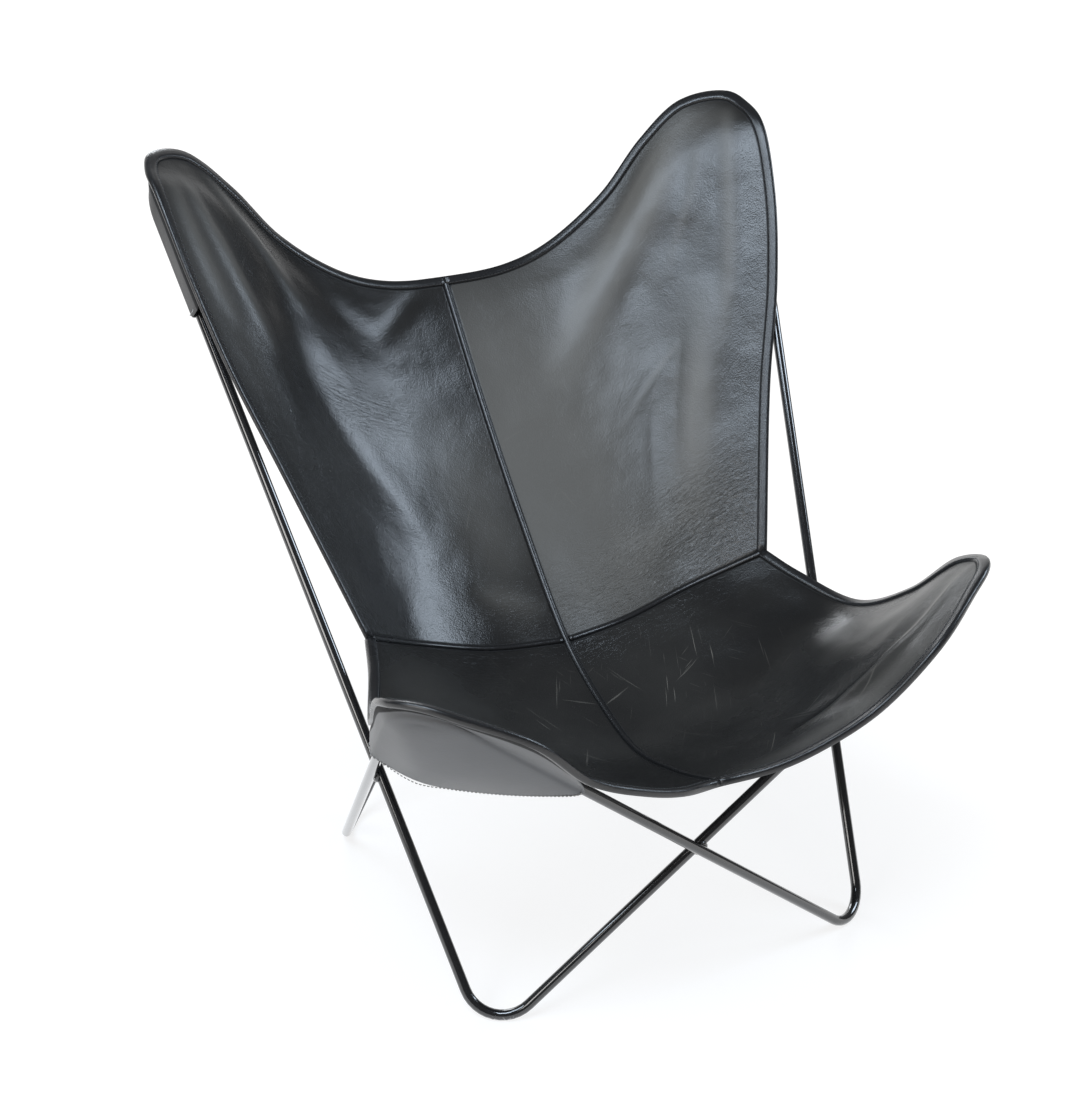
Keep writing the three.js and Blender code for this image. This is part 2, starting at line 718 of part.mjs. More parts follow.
// Pocket: goes from the sling's edge round the outside of each rod and across behind them
function pocket(name, tip, bend, rims, shape, sideFirst, panel) {
  const rodAt = (which, share, depth) => {
    const bendLength = (bend.radius * (Math.PI - bend.inLeg.angleTo(bend.outLeg))) / 2;
    const legDirection = which.leg;
    const travel = share * depth;
    if (travel > bendLength) {
      const start = which.end.clone();
      const at = start.addScaledVector(legDirection, travel - bendLength);
      const out = which.end.clone().sub(tip.centre).normalize();
      return { at, out };
    }
    const turn = (travel / bendLength) * which.turn;
    const out = tip.outward.clone().multiplyScalar(Math.cos(turn));
    out.addScaledVector(tip.across, Math.sin(turn));
    return { at: tip.centre.clone().addScaledVector(out, tip.radius), out };
  };
  const ends = [
    { end: bend.points[0], leg: bend.inLeg },
    { end: bend.points[bend.points.length - 1], leg: bend.outLeg },
  ];
  ends.forEach((which) => {
    const away = which.end.clone().sub(tip.centre);
    which.turn = Math.atan2(away.dot(tip.across), away.dot(tip.outward));
  });
  ends.sort((a, b) => b.turn - a.turn);
  const depths = sideFirst ? [shape.sideDepth, shape.farDepth] : [shape.farDepth, shape.sideDepth];
  const fullShare = sideFirst ? 1 - shape.fullShare : shape.fullShare;
  const fullness = (s) => 1 - (s < fullShare ? 1 - s / fullShare : (s - fullShare) / (1 - fullShare)) ** 2;
  const reach = rodRadius + pocketThickness / 2 + clearance + pocketSlack;
  const tuck = leatherThickness / 2 + bindingSlack + bindingLeather + clearance + pocketThickness / 2;
  const points = [];
  const row = [];
  for (let j = 0; j <= pocketStations; j += 1) {
    const share = 1 - j / pocketStations;
    const half = ends.map((which, e) => {
      const rod = rodAt(which, share, depths[e]);
      const rim = rims[e](share * depths[e]);
      const start = rim.at.clone().addScaledVector(rim.up, -tuck).addScaledVector(rim.out, -clearance);
      const sideways = rod.out.clone().addScaledVector(tip.up, -sleeveTilt).normalize();
      const aside = rod.at.clone().addScaledVector(sideways, reach * sleeveSideShare);
      const quarter = rod.out.clone().sub(tip.up).normalize();
      const lower = rod.at.clone().addScaledVector(quarter, reach * sleeveCornerShare);
      const behind = rod.at.clone().addScaledVector(tip.up, -reach * sleeveBackShare);
      return [start, mix(start, aside, sleeveHalfShare), aside, lower, behind];
    });
    half.forEach((points) => {
      [1, 2].forEach((k) => keepBelow(points[k], tip, panel));
    });
    const [a, b] = half;
    const bow = (s) => {
      const full = share * fullness(s);
      const point = mix(a[4], b[4], s).addScaledVector(tip.up, -shape.sag * full);
      return point.addScaledVector(tip.outward, -shape.lip * share * full);
    };
    const across = [];
    for (let mark = 1; mark <= pocketMarks; mark += 1) across.push(bow(mark / (pocketMarks + 1)));
    const line = [...a, ...across, ...b.slice().reverse()];
    const ids = [];
    line.forEach((point, k) => {
      const mirrored = line.length - 1 - k;
      if (j === pocketStations && k > mirrored) ids.push(ids[mirrored]);
      else {
        ids.push(points.length);
        points.push(point);
      }
    });
    row.push(ids);
  }
  const faces = [];
  const push = (face) => {
    if (new Set(face).size === 3) faces.push(face);
  };
  for (let j = 0; j < pocketStations; j += 1) {
    for (let k = 0; k < row[j].length - 1; k += 1) {
      const [a, b, c, d] = [row[j][k], row[j][k + 1], row[j + 1][k + 1], row[j + 1][k]];
      push([a, b, c]);
      push([a, c, d]);
    }
  }
  const middleFace = faces[Math.floor(row[0].length / 2) * 2];
  const [p, q, r] = middleFace.map((k) => points[k]);
  const facing = q.clone().sub(p).cross(r.clone().sub(p)).dot(tip.up);
  if (facing < 0) faces.forEach((face) => face.reverse());
  return thicken(name, points, faces, pocketThickness, flesh);
}

// Rim stations read by their distance from the apex, to one side of it
function rimFrom(stations, apexIndex, direction) {
  const picked = [stations[apexIndex]];
  const lengths = [0];
  for (let n = apexIndex + direction; n >= 0 && n < stations.length; n += direction) {
    const previous = picked[picked.length - 1];
    lengths.push(lengths[lengths.length - 1] + stations[n].at.distanceTo(previous.at));
    picked.push(stations[n]);
  }
  return (distance) => {
    let i = 1;
    while (i < lengths.length - 1 && lengths[i] < distance) i += 1;
    const s = (distance - lengths[i - 1]) / (lengths[i] - lengths[i - 1]);
    return {
      at: mix(picked[i - 1].at, picked[i].at, s),
      up: mix(picked[i - 1].up, picked[i].up, s).normalize(),
      out: mix(picked[i - 1].out, picked[i].out, s).normalize(),
    };
  };
}

function slingSide(side, highLoop, frontLoop) {
  const word = side > 0 ? 'right' : 'left';
  const place = (p) => sided(p, side);
  const highAxes = tipAxes(highLoop.bends.high, side, true);
  const frontAxes = tipAxes(frontLoop.bends.front, side, false);
  const across = (p) => sided(p, -side);
  const backRim = [
    across(topEdge[0]), place(topMiddle), ...topEdge.map(place),
    ...highRimShares.map((m) => tipPoint(highAxes, highRim, m)), ...sideEdge.map(place), place(waist),
  ];
  const highApex = topEdge.length + 3;
  const seatRim = [
    place(waist), ...armEdge.map(place), ...frontRimShares.map((m) => tipPoint(frontAxes, frontRim, m)),
    ...frontEdge.map(place), place(frontMiddle), across(frontEdge.at(-1)),
  ];
  const frontApex = armEdge.length + 2;
  const middleSeam = [topMiddle, ...backSeam, crossing, ...seatSeam, frontMiddle].map(vector);
  const crossingIndex = backSeam.length + 1;
  const crossLine = [crossing, ...crossSeam, waist].map(place);
  const cross = stretch(crossLine, 0, crossLine.length - 1);
  const back = panelGrid({
    bottom: cross,
    top: stretch(backRim, 1, highApex),
    inner: stretch(middleSeam, crossingIndex, 0),
    outer: stretch(backRim, backRim.length - 1, highApex),
  }, panelColumns, backRows, true);
  const seat = panelGrid({
    bottom: stretch(seatRim, seatRim.length - 2, frontApex),
    top: cross,
    inner: stretch(middleSeam, middleSeam.length - 1, crossingIndex),
    outer: stretch(seatRim, frontApex, 0),
  }, panelColumns, seatRows, false);
  addFolds(back, highAxes);
  addFolds(seat, frontAxes);
  const reach = rodRadius + leatherThickness / 2 + 2 * clearance;
  restOnRods(back, highAxes, rodLegs(highLoop.bends.high), reach);
  restOnRods(seat, frontAxes, rodLegs(frontLoop.bends.front), reach);
  const backSheet = gridSheet(back, side < 0);
  const seatSheet = gridSheet(seat, side < 0);
  const columns = panelColumns + 1;
  const backOrder = [];
  for (let i = 0; i <= panelColumns; i += 1) backOrder.push(backRows * columns + i);
  for (let j = backRows - 1; j >= 0; j -= 1) backOrder.push(j * columns + panelColumns);
  const seatOrder = [];
  for (let j = seatRows; j >= 0; j -= 1) seatOrder.push(j * columns + panelColumns);
  for (let i = panelColumns - 1; i >= 0; i -= 1) seatOrder.push(i);
  const backCentre = back[Math.floor(backRows / 2)][Math.floor(panelColumns / 2)];
  const seatCentre = seat[Math.floor(seatRows / 2)][Math.floor(panelColumns / 2)];
  const backEdge = edgeStations(backSheet, backOrder, backCentre);
  const seatEdge = edgeStations(seatSheet, seatOrder, seatCentre);
  const toBack = backEdge.at(-2).at.clone().sub(backEdge.at(-1).at).normalize();
  const toFront = seatEdge[1].at.clone().sub(seatEdge[0].at).normalize();
  const waistCut = toBack.sub(toFront).normalize();
  const middleCut = new THREE.Vector3(side, 0, 0);
  const bound = (edge, startPoint, startCut, endPoint, endCut) => [
    mitred(edge[0], edge[1], startPoint.clone().addScaledVector(startCut, clearance / 2), startCut),
    ...edge.slice(1, -1),
    mitred(edge.at(-1), edge.at(-2), endPoint.clone().addScaledVector(endCut, clearance / 2), endCut),
  ];
  const backBound = bound(backEdge, place(topMiddle), middleCut, place(waist), waistCut);
  const seatBound = bound(seatEdge, place(waist), waistCut.clone().negate(), place(frontMiddle), middleCut);
  const pieces = [
    thicken(`back_panel_${word}`, backSheet.points, backSheet.faces, leatherThickness, hide),
    thicken(`seat_panel_${word}`, seatSheet.points, seatSheet.faces, leatherThickness, hide),
    sweepSection(`edge_binding_back_${word}`, backBound, bindingSection, trim),
    sweepSection(`edge_binding_seat_${word}`, seatBound, bindingSection, trim),
    pocket(
      `back_pocket_${word}`, highAxes, highLoop.bends.high,
      [rimFrom(backEdge, panelColumns, 1), rimFrom(backEdge, panelColumns, -1)], backPocket, true, backSheet,
    ),
    pocket(
      `front_pocket_${word}`, frontAxes, frontLoop.bends.front,
      [rimFrom(seatEdge, seatRows, 1), rimFrom(seatEdge, seatRows, -1)], frontPocket, false, seatSheet,
    ),
  ];
  const start = (weltDiameter / 2 + weltGap) / cross.length;
  const end = 1 - (bindingLeg + weltDiameter / 2) / cross.length;
  const shares = [];
  for (let i = 0; i <= panelColumns; i += 1) {
    const share = THREE.MathUtils.lerp(start, 1, easeIn(i / panelColumns));
    if (share < end) shares.push(share);
  }
  pieces.push(welt(`cross_welt_${word}`, cross, [...shares, end]));
  return pieces;
}

function buildChair() {
  const chair = new THREE.Group();
  const right = rodLoop(1);
  const left = rodLoop(-1);
  const addLoop = (name, loop) => {
    const { points, faces } = sweepLoop(loop.path, rodRadius, rodSides);
    chair.add(solid(name, points, faces, black));
  };
  addLoop('frame_loop_right', right);
  addLoop('frame_loop_left', left);
  const crossings = {
    weld_front: [right.frontGround, right.front, left.frontGround, left.front],
    weld_rear: [right.rearGround, right.high, left.rearGround, left.high],
    weld_right: [right.frontGround, right.high, left.rearGround, left.front],
    weld_left: [left.frontGround, left.high, right.rearGround, right.front],
  };
  Object.entries(crossings).forEach(([name, corners]) => {
    chair.add(weldBead(name, nearestOnLegs(...corners)));
  });
  slingSide(1, right, left).forEach((piece) => chair.add(piece));
  slingSide(-1, left, right).forEach((piece) => chair.add(piece));
  const seamPoints = [topMiddle, ...backSeam, crossing, ...seatSeam, frontMiddle].map(vector);
  const seam = stretch(seamPoints, 0, seamPoints.length - 1);
  const hold = (bindingLeg + weltDiameter / 2) / seam.length;
  const shares = [];
  for (let i = 0; i <= weltSteps; i += 1) shares.push(THREE.MathUtils.lerp(hold, 1 - hold, i / weltSteps));
  chair.add(welt('centre_welt', seam, shares));
  return chair;
}

export default buildChair();
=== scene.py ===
import math
from types import SimpleNamespace

import bmesh
import bpy
import numpy as np
from mathutils import Matrix, Vector, noise
from mathutils.bvhtree import BVHTree


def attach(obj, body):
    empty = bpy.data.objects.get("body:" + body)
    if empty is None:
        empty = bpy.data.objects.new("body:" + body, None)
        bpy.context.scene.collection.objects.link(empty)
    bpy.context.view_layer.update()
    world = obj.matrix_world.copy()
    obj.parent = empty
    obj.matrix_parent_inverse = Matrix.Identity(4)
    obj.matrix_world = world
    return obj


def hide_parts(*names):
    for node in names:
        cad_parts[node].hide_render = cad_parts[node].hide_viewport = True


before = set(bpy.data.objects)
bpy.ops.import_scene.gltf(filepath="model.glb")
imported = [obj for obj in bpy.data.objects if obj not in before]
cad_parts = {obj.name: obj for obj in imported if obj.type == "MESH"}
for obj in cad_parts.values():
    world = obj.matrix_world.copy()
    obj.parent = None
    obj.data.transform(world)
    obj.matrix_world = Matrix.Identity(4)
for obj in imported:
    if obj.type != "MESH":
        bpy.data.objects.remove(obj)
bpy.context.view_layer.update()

# View. The camera stands in front of the chair, to the viewer's left and above the seat, and looks
# down at it through a short telephoto lens that keeps the four tips in their real proportions.
camera_place = Vector((-1.0197, -1.9497, 1.4681))
camera_azimuth = math.radians(-26.449)
camera_elevation = math.radians(25.499)
camera_roll = math.radians(0.354)
camera_lens = 67.234

camera_back = Vector((
    math.sin(camera_azimuth) * math.cos(camera_elevation),
    -math.cos(camera_azimuth) * math.cos(camera_elevation),
    math.sin(camera_elevation),
))
camera_right = Vector((0, 0, 1)).cross(camera_back).normalized()
camera_axes = Matrix((camera_right, camera_back.cross(camera_right), camera_back)).transposed()
camera = bpy.data.objects.new("camera", bpy.data.cameras.new("camera"))
camera.data.lens = camera_lens
camera.matrix_world = (
    Matrix.Translation(camera_place) @ camera_axes.to_4x4() @ Matrix.Rotation(camera_roll, 4, "Z")
)
bpy.context.scene.collection.objects.link(camera)
bpy.context.scene.camera = camera

# Studio. The chair stands on a seamless white sweep that burns out to white away from it and keeps
# only the soft shadows under the feet and the seat.
floor_radius = 8.0
floor_sides = 96
floor_drop = 0.0002
floor_white = (0.90, 0.91, 0.93, 1)
white = (1, 1, 1, 1)
shadow_share = 0.28
glow_strength = 1.12
fade_start = 0.3
fade_end = 0.95


def add_node(tree, kind, sockets=None, **settings):
    """A shader node with its settings made and its sockets set or joined"""
    node = tree.nodes.new(kind)
    for name, value in settings.items():
        setattr(node, name, value)
    for name, value in (sockets or {}).items():
        if isinstance(value, bpy.types.NodeSocket):
            tree.links.new(value, node.inputs[name])
        else:
            node.inputs[name].default_value = value
    return node


def value_math(tree, operation, *values, clamp=False):
    """The result of a sum, a product or a comparison"""
    node = add_node(
        tree, "ShaderNodeMath", dict(enumerate(values)), operation=operation, use_clamp=clamp
    )
    return node.outputs[0]


def carried_over(tree, value, given, wanted=(0.0, 1.0), ease="LINEAR"):
    """A value carried over from the range it is given in to the range that is wanted"""
    node = add_node(tree, "ShaderNodeMapRange", {
        "Value": value,
        "From Min": given[0],
        "From Max": given[1],
        "To Min": wanted[0],
        "To Max": wanted[1],
    }, interpolation_type=ease)
    return node.outputs["Result"]


def new_material(name):
    """An empty material, its tree and its output node"""
    material = bpy.data.materials.new(name)
    material.use_nodes = True
    material.node_tree.nodes.clear()
    output = add_node(material.node_tree, "ShaderNodeOutputMaterial")
    return material, material.node_tree, output


def sweep_material():
    """White paper: lit like any floor for the chair, and mostly glowing white for the camera"""
    material, tree, output = new_material("white_sweep")
    paper = add_node(tree, "ShaderNodeBsdfDiffuse", {"Color": floor_white})
    glow = add_node(tree, "ShaderNodeEmission", {"Color": white, "Strength": glow_strength})
    place = add_node(tree, "ShaderNodeTexCoord").outputs["Object"]
    distance = add_node(tree, "ShaderNodeVectorMath", {0: place}, operation="LENGTH").outputs["Value"]
    burn = carried_over(
        tree, distance, (fade_start, fade_end), (1 - shadow_share, 1.0), "SMOOTHSTEP"
    )
    rays = add_node(tree, "ShaderNodeLightPath").outputs
    looked_at = value_math(tree, "MAXIMUM", rays["Is Camera Ray"], rays["Is Glossy Ray"])
    mixed = add_node(tree, "ShaderNodeMixShader", {
        "Fac": value_math(tree, "MULTIPLY", burn, looked_at),
        1: paper.outputs[0],
        2: glow.outputs[0],
    })
    tree.links.new(mixed.outputs[0], output.inputs["Surface"])
    return material


bpy.ops.mesh.primitive_circle_add(
    vertices=floor_sides, radius=floor_radius, fill_type="NGON", location=(0, 0, -floor_drop)
)
sweep = bpy.context.object
sweep.name = "white_sweep"
sweep.data.materials.append(sweep_material())

# Lights. A dim white room with a white backdrop behind the chair, and five soft boxes. The cool ones
# on the left light the right half of the back, the low one beside them the pocket, the right one the
# left half of the back, and the one behind the wing of the seat. Angles are degrees from the front, up.
box_reach = 3.0
soft_boxes = {
    "left_box": dict(azimuth=-50, elevation=60, size=1.1, power=43, color=(0.74, 0.86, 1.0)),
    "side_box": dict(azimuth=-88, elevation=50, size=1.2, power=29, color=(0.76, 0.88, 1.0)),
    "low_box": dict(azimuth=-64, elevation=18, size=1.3, power=27, color=(1.0, 0.98, 0.96)),
    "right_box": dict(azimuth=74, elevation=31, size=1.15, power=38, color=(0.74, 0.86, 1.0)),
    "rear_box": dict(azimuth=174, elevation=25, size=1.2, power=24, color=(0.92, 0.96, 1.0)),
}
light_aim = Vector((0, 0, 0.45))
room_light = 0.11
backdrop_way = Vector((0.25, 0.968, 0.0))
backdrop_edge = 0.60
backdrop_full = 0.90
backdrop_share = 0.85


def way_to(azimuth, elevation):
    """The direction at that angle round from the chair's front and that angle up"""
    azimuth, elevation = math.radians(azimuth), math.radians(elevation)
    return Vector((
        math.sin(azimuth) * math.cos(elevation),
        -math.cos(azimuth) * math.cos(elevation),
        math.sin(elevation),
    ))


def studio_world():
    """A dim room that the camera sees as plain white, and gloss with a white backdrop in it"""
    world = bpy.data.worlds.new("studio")
    world.use_nodes = True
    sky = world.node_tree
    sky.nodes.clear()
    rays = add_node(sky, "ShaderNodeLightPath").outputs
    looked_at = value_math(sky, "MAXIMUM", rays["Is Camera Ray"], rays["Is Transmission Ray"])
    place = add_node(sky, "ShaderNodeTexCoord").outputs["Generated"]
    facing = add_node(
        sky, "ShaderNodeVectorMath", {0: place, 1: backdrop_way}, operation="DOT_PRODUCT"
    )
    backdrop = carried_over(
        sky, facing.outputs["Value"], (backdrop_edge, backdrop_full), (0.0, backdrop_share), "SMOOTHSTEP"
    )
    in_gloss = value_math(sky, "MULTIPLY", rays["Is Glossy Ray"], backdrop)
    white_share = value_math(sky, "MAXIMUM", looked_at, in_gloss)
    background = add_node(sky, "ShaderNodeBackground", {
        "Color": white,
        "Strength": carried_over(sky, white_share, (0.0, 1.0), (room_light, 1.0)),
    })
    add_node(sky, "ShaderNodeOutputWorld", {"Surface": background.outputs[0]})
    return world


for box_name, box in soft_boxes.items():
    lamp = bpy.data.objects.new(box_name, bpy.data.lights.new(box_name, "AREA"))
    lamp.data.shape = "SQUARE"
    lamp.data.size = box["size"]
    lamp.data.energy = box["power"]
    lamp.data.color = box["color"]
    lamp.location = light_aim + way_to(box["azimuth"], box["elevation"]) * box_reach
    lamp.rotation_euler = (lamp.location - light_aim).to_track_quat("Z", "Y").to_euler()
    bpy.context.scene.collection.objects.link(lamp)

bpy.context.scene.view_settings.view_transform = "Standard"
bpy.context.scene.world = studio_world()

# Frame. Two loops of 12 mm steel rod, each bent at two feet and two tips and butt-welded shut, then
# welded together where they cross and dipped in black enamel. The loops and weld beads are the
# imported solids, and the sling's tips are worked out from the same bends.
clearance = 0.0003
rod_radius = 0.0125 / 2
foot_wear = 0.001
foot_bend_radius = 0.044
high_bend_radius = 0.052
front_bend_radius = 0.044
front_foot = (0.2485, -0.280)
rear_foot = (0.2435, 0.1865)
high_tip = np.array((0.4135, 0.385, 0.938))
front_tip = np.array((0.3675, -0.338, 0.4895))
bend_steps = 24
foot_passes = 4
enamel_black = (0.010, 0.010, 0.011, 1)
bare_steel = (0.32, 0.31, 0.30, 1)
loop_roughness = 0.12
weld_roughness = 0.26
roughness_spread = (0.8, 1.3)
# Noise pitches, here and below, are turns per metre
enamel_run_pitch = 38.0
enamel_run_depth = 0.0006
enamel_run_strength = 0.05
chip_pitch = 420.0
chip_height = 0.016
chip_limits = (0.56, 0.12)
noise_middle = (0.3, 0.7)
same_point = 0.00001


def unit(vectors):
    return vectors / np.linalg.norm(vectors, axis=-1, keepdims=True)


def round_corner(before, corner, after, radius):
    """The bend that rounds the corner between two straight legs"""
    in_leg = unit(before - corner)
    out_leg = unit(after - corner)
    half_angle = math.acos(in_leg @ out_leg) / 2
    inward = unit(in_leg + out_leg)
    across = unit(out_leg - in_leg)
    centre = corner + inward * radius / math.sin(half_angle)
    turns = np.linspace(half_angle - math.pi / 2, math.pi / 2 - half_angle, bend_steps + 1)[:, None]
    points = centre - inward * radius * np.cos(turns) + across * radius * np.sin(turns)
    return SimpleNamespace(
        points=points, centre=centre, outward=-inward, across=across, radius=radius,
        in_leg=in_leg, out_leg=out_leg,
    )


def rod_loop(side):
    """The high and front bends of the loop whose high tip is on that side"""
    stagger = np.array((0, -side * (rod_radius + clearance), 0))
    high = high_tip * (side, 1, 1) + stagger
    front = front_tip * (-side, 1, 1) + stagger
    front_ground = np.array((side * front_foot[0], front_foot[1], 0.0)) + stagger
    rear_ground = np.array((-side * rear_foot[0], rear_foot[1], 0.0)) + stagger
    sole = rod_radius - foot_wear
    for _ in range(foot_passes):
        high_bend = round_corner(rear_ground, high, front_ground, high_bend_radius)
        front_foot_bend = round_corner(high, front_ground, front, foot_bend_radius)
        front_bend = round_corner(front_ground, front, rear_ground, front_bend_radius)
        rear_foot_bend = round_corner(front, rear_ground, high, foot_bend_radius)
        front_ground[2] += sole - front_foot_bend.points[:, 2].min()
        rear_ground[2] += sole - rear_foot_bend.points[:, 2].min()
    return SimpleNamespace(high=high_bend, front=front_bend)


def noise_value(tree, place, pitch, detail, roughness=0.5, distortion=0.0):
    """Soft noise of that pitch"""
    node = add_node(tree, "ShaderNodeTexNoise", {
        "Vector": place,
        "Scale": pitch,
        "Detail": detail,
        "Roughness": roughness,
        "Distortion": distortion,
    })
    return node.outputs["Fac"]


def mixed_colour(tree, share, first, second):
    """The first colour, turned into the second by a share"""
    node = add_node(tree, "ShaderNodeMix", {0: share, 6: first, 7: second}, data_type="RGBA")
    return node.outputs[2]


def enamel_material(name, roughness, chipped):
    """Dipped black enamel: a hard gloss with faint runs, worn to steel where the feet stand"""
    material, tree, output = new_material(name)
    place = add_node(tree, "ShaderNodeTexCoord").outputs["Object"]
    runs = noise_value(tree, place, enamel_run_pitch, 3.0)
    colour = enamel_black
    if chipped:
        specks = noise_value(tree, place, chip_pitch, 4.0, 0.65)
        height = add_node(tree, "ShaderNodeSeparateXYZ", {"Vector": place}).outputs["Z"]
        limit = carried_over(tree, height, (0.0, chip_height), chip_limits)
        colour = mixed_colour(tree, value_math(tree, "LESS_THAN", specks, limit), colour, bare_steel)
    ripple = add_node(tree, "ShaderNodeBump", {
        "Height": runs, "Strength": enamel_run_strength, "Distance": enamel_run_depth,
    })
    sleek, dull = [share * roughness for share in roughness_spread]
    enamel = add_node(tree, "ShaderNodeBsdfPrincipled", {
        "Base Color": colour,
        "Roughness": carried_over(tree, runs, noise_middle, (sleek, dull)),
        "Normal": ripple.outputs["Normal"],
        "Coat Weight": 1.0,
        "Coat IOR": 1.6,
        "Coat Roughness": 0.03,
    })
    tree.links.new(enamel.outputs[0], output.inputs["Surface"])
    return material


loop_enamel = enamel_material("frame_enamel", loop_roughness, chipped=True)
weld_enamel = enamel_material("weld_enamel", weld_roughness, chipped=False)
for node_name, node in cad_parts.items():
    if not node_name.startswith(("frame_loop", "weld")):
        continue
    node.data.materials.clear()
    node.data.materials.append(loop_enamel if node_name.startswith("frame") else weld_enamel)
    joined = node.modifiers.new("joined", "WELD")
    joined.merge_threshold = same_point
    for face in node.data.polygons:
        face.use_smooth = True

right_loop = rod_loop(1)
left_loop = rod_loop(-1)

# Sling panels. Four pieces of 3 mm black saddle leather, two for the back and two for the seat, cut
# to a curved pattern and sewn in a cross. They hang over the tips, pulled tight over the rods near
# them, and sag between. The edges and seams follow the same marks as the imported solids.
leather_thickness = 0.003
top_middle = np.array((0, 0.383, 0.643))
waist = np.array((0.267, 0.005, 0.361))
front_middle = np.array((0, -0.339, 0.288))
crossing = np.array((0, 0.027, 0.286))
# Marks of each run: the share of the way along, then the shares of its hang in x, y and z
top_hang = (0, -0.010, -0.075)
top_shares = ((0.2, 0, 0.54, 0.7), (0.35, 0, 0.77, 1), (0.54, 0, 0.91, 0.99), (0.68, 0, 1.03, 0.64))
side_hang = (0.021, -0.047, 0)
side_shares = ((0.68, 0.96, 1, 0), (0.51, 1.02, 0.76, 0), (0.31, 0.57, 0.34, 0))
arm_hang = (0.016, 0, -0.072)
arm_shares = ((0.15, 0.15, 0, 0.43), (0.38, 0.81, 0, 1), (0.59, 1, 0, 0.77))
front_hang = (0, -0.045, -0.027)
front_shares = ((0.66, 0, 1, 0), (0.48, 0, 0.88, 1), (0.3, 0, 0.74, 0.9), (0.155, 0, 0.47, 0.6))
back_seam_hang = (0, 0.017, 0)
back_seam_shares = ((0.64, 0, 0.92, 0), (0.31, 0, 1, 0))
seat_seam_hang = (0, 0, -0.059)
seat_seam_shares = ((0.25, 0, 0, 0.69), (0.49, 0, 0, 1), (0.77, 0, 0, 0.585))
cross_seam_hang = (0, 0.031, -0.025)
cross_seam_shares = ((0.34, 0, 0.82, 1), (0.67, 0, 1, 0.94))
# Marks round a tip: degrees about the bend's centre, then the shares of the rim's reach and rise
high_rim = (0.029, 0.020)
high_rim_shares = ((-36, 0.97, 0.3), (6, 1, 0.15), (28, 0.84, 0.4), (57, 0.76, 1))
front_rim = (0.026, 0.012)
front_rim_shares = ((-67, 0.77, 1), (-25, 0.85, 0.25), (8, 0.92, 0), (41, 1, -0.25))
curve_steps = 40
binding_width = 0.0096
welt_half_width = 0.0036
panel_columns = 92
back_rows = 104
seat_rows = 84
tip_ease = 1.5
tent_passes = 900
tent_pull = 0.9985
tent_soften = 4
rod_run = 0.55
rod_gap = 3 * clearance
fold_fade_power = 0.8


def smooth_line(marks):
    """A smooth line through the marks, curve_steps points to a span"""
    marks = np.array(marks, float)
    marks = np.vstack((2 * marks[0] - marks[1], marks, 2 * marks[-1] - marks[-2]))
    line = [marks[1]]
    for p0, p1, p2, p3 in zip(marks, marks[1:], marks[2:], marks[3:]):
        spans = [np.linalg.norm(b - a) ** 0.5 for a, b in ((p0, p1), (p1, p2), (p2, p3))]
        k1, k2, k3 = np.cumsum(spans)
        for t in np.linspace(k1, k2, curve_steps + 1)[1:]:
            a1 = p0 + (p1 - p0) * t / k1
            a2 = p1 + (p2 - p1) * (t - k1) / (k2 - k1)
            a3 = p2 + (p3 - p2) * (t - k2) / (k3 - k2)
            b1 = a1 + (a2 - a1) * t / k2
            b2 = a2 + (a3 - a2) * (t - k1) / (k3 - k1)
            line.append(b1 + (b2 - b1) * (t - k1) / (k2 - k1))
    return np.array(line)


def cut_line(line, start, end):
    """The stretch of a smooth line between two of its marks, in that direction"""
    first, last = start * curve_steps, end * curve_steps
    return line[first:last + 1] if first < last else line[last:first + 1][::-1]


def run_lengths(line):
    """Distance from a line's start to each of its points"""
    return np.concatenate(([0], np.cumsum(np.linalg.norm(np.diff(line, axis=0), axis=1))))


def read_at(goals, lengths, values):
    """Vectors read between those given at known lengths"""
    return np.stack([np.interp(goals, lengths, values[:, k]) for k in range(3)], axis=-1)


def along_line(line, shares):
    """Points at shares of a line's length"""
    lengths = run_lengths(line)
    return read_at(np.asarray(shares) * lengths[-1], lengths, line)


def hung(start, end, hang, shares):
    """Marks between two ends, hung off the straight line between them"""
    return [start + (end - start) * along + np.array(hang) * share for along, *share in shares]


def tip_axes(bend, side, is_high):
    """Axes of a tip: outward along its bisector, across towards the side leg, up to the sitter"""
    across = bend.across
    if np.sign(across[0]) != side * (1 if is_high else -1):
        across = -across
    up = np.cross(bend.outward, across)
    if up[2] < 0:
        up = -up
    return SimpleNamespace(
        centre=bend.centre, outward=bend.outward, across=across, up=up, radius=bend.radius, bend=bend,
    )


def rim_marks(tip, rim, shares):
    """Marks of the sling's edge round a tip"""
    reach, rise = rim
    marks = []
    for turn, reach_share, rise_share in shares:
        angle = math.radians(turn)
        direction = tip.outward * math.cos(angle) + tip.across * math.sin(angle)
        radius = tip.radius + reach * reach_share
        marks.append(tip.centre + direction * radius + tip.up * rise * rise_share)
    return marks


def panel_points(edges, u, v):
    """Points of the panel that fills its four edges, at shares u across and v up it"""
    bottom, top = along_line(edges.bottom, u)[None], along_line(edges.top, u)[None]
    inner, outer = along_line(edges.inner, v)[:, None], along_line(edges.outer, v)[:, None]
    u = np.asarray(u)[None, :, None]
    v = np.asarray(v)[:, None, None]
    low = (1 - u) * edges.bottom[0] + u * edges.bottom[-1]
    high = (1 - u) * edges.top[0] + u * edges.top[-1]
    return (1 - v) * bottom + v * top + (1 - u) * inner + u * outer - (1 - v) * low - v * high


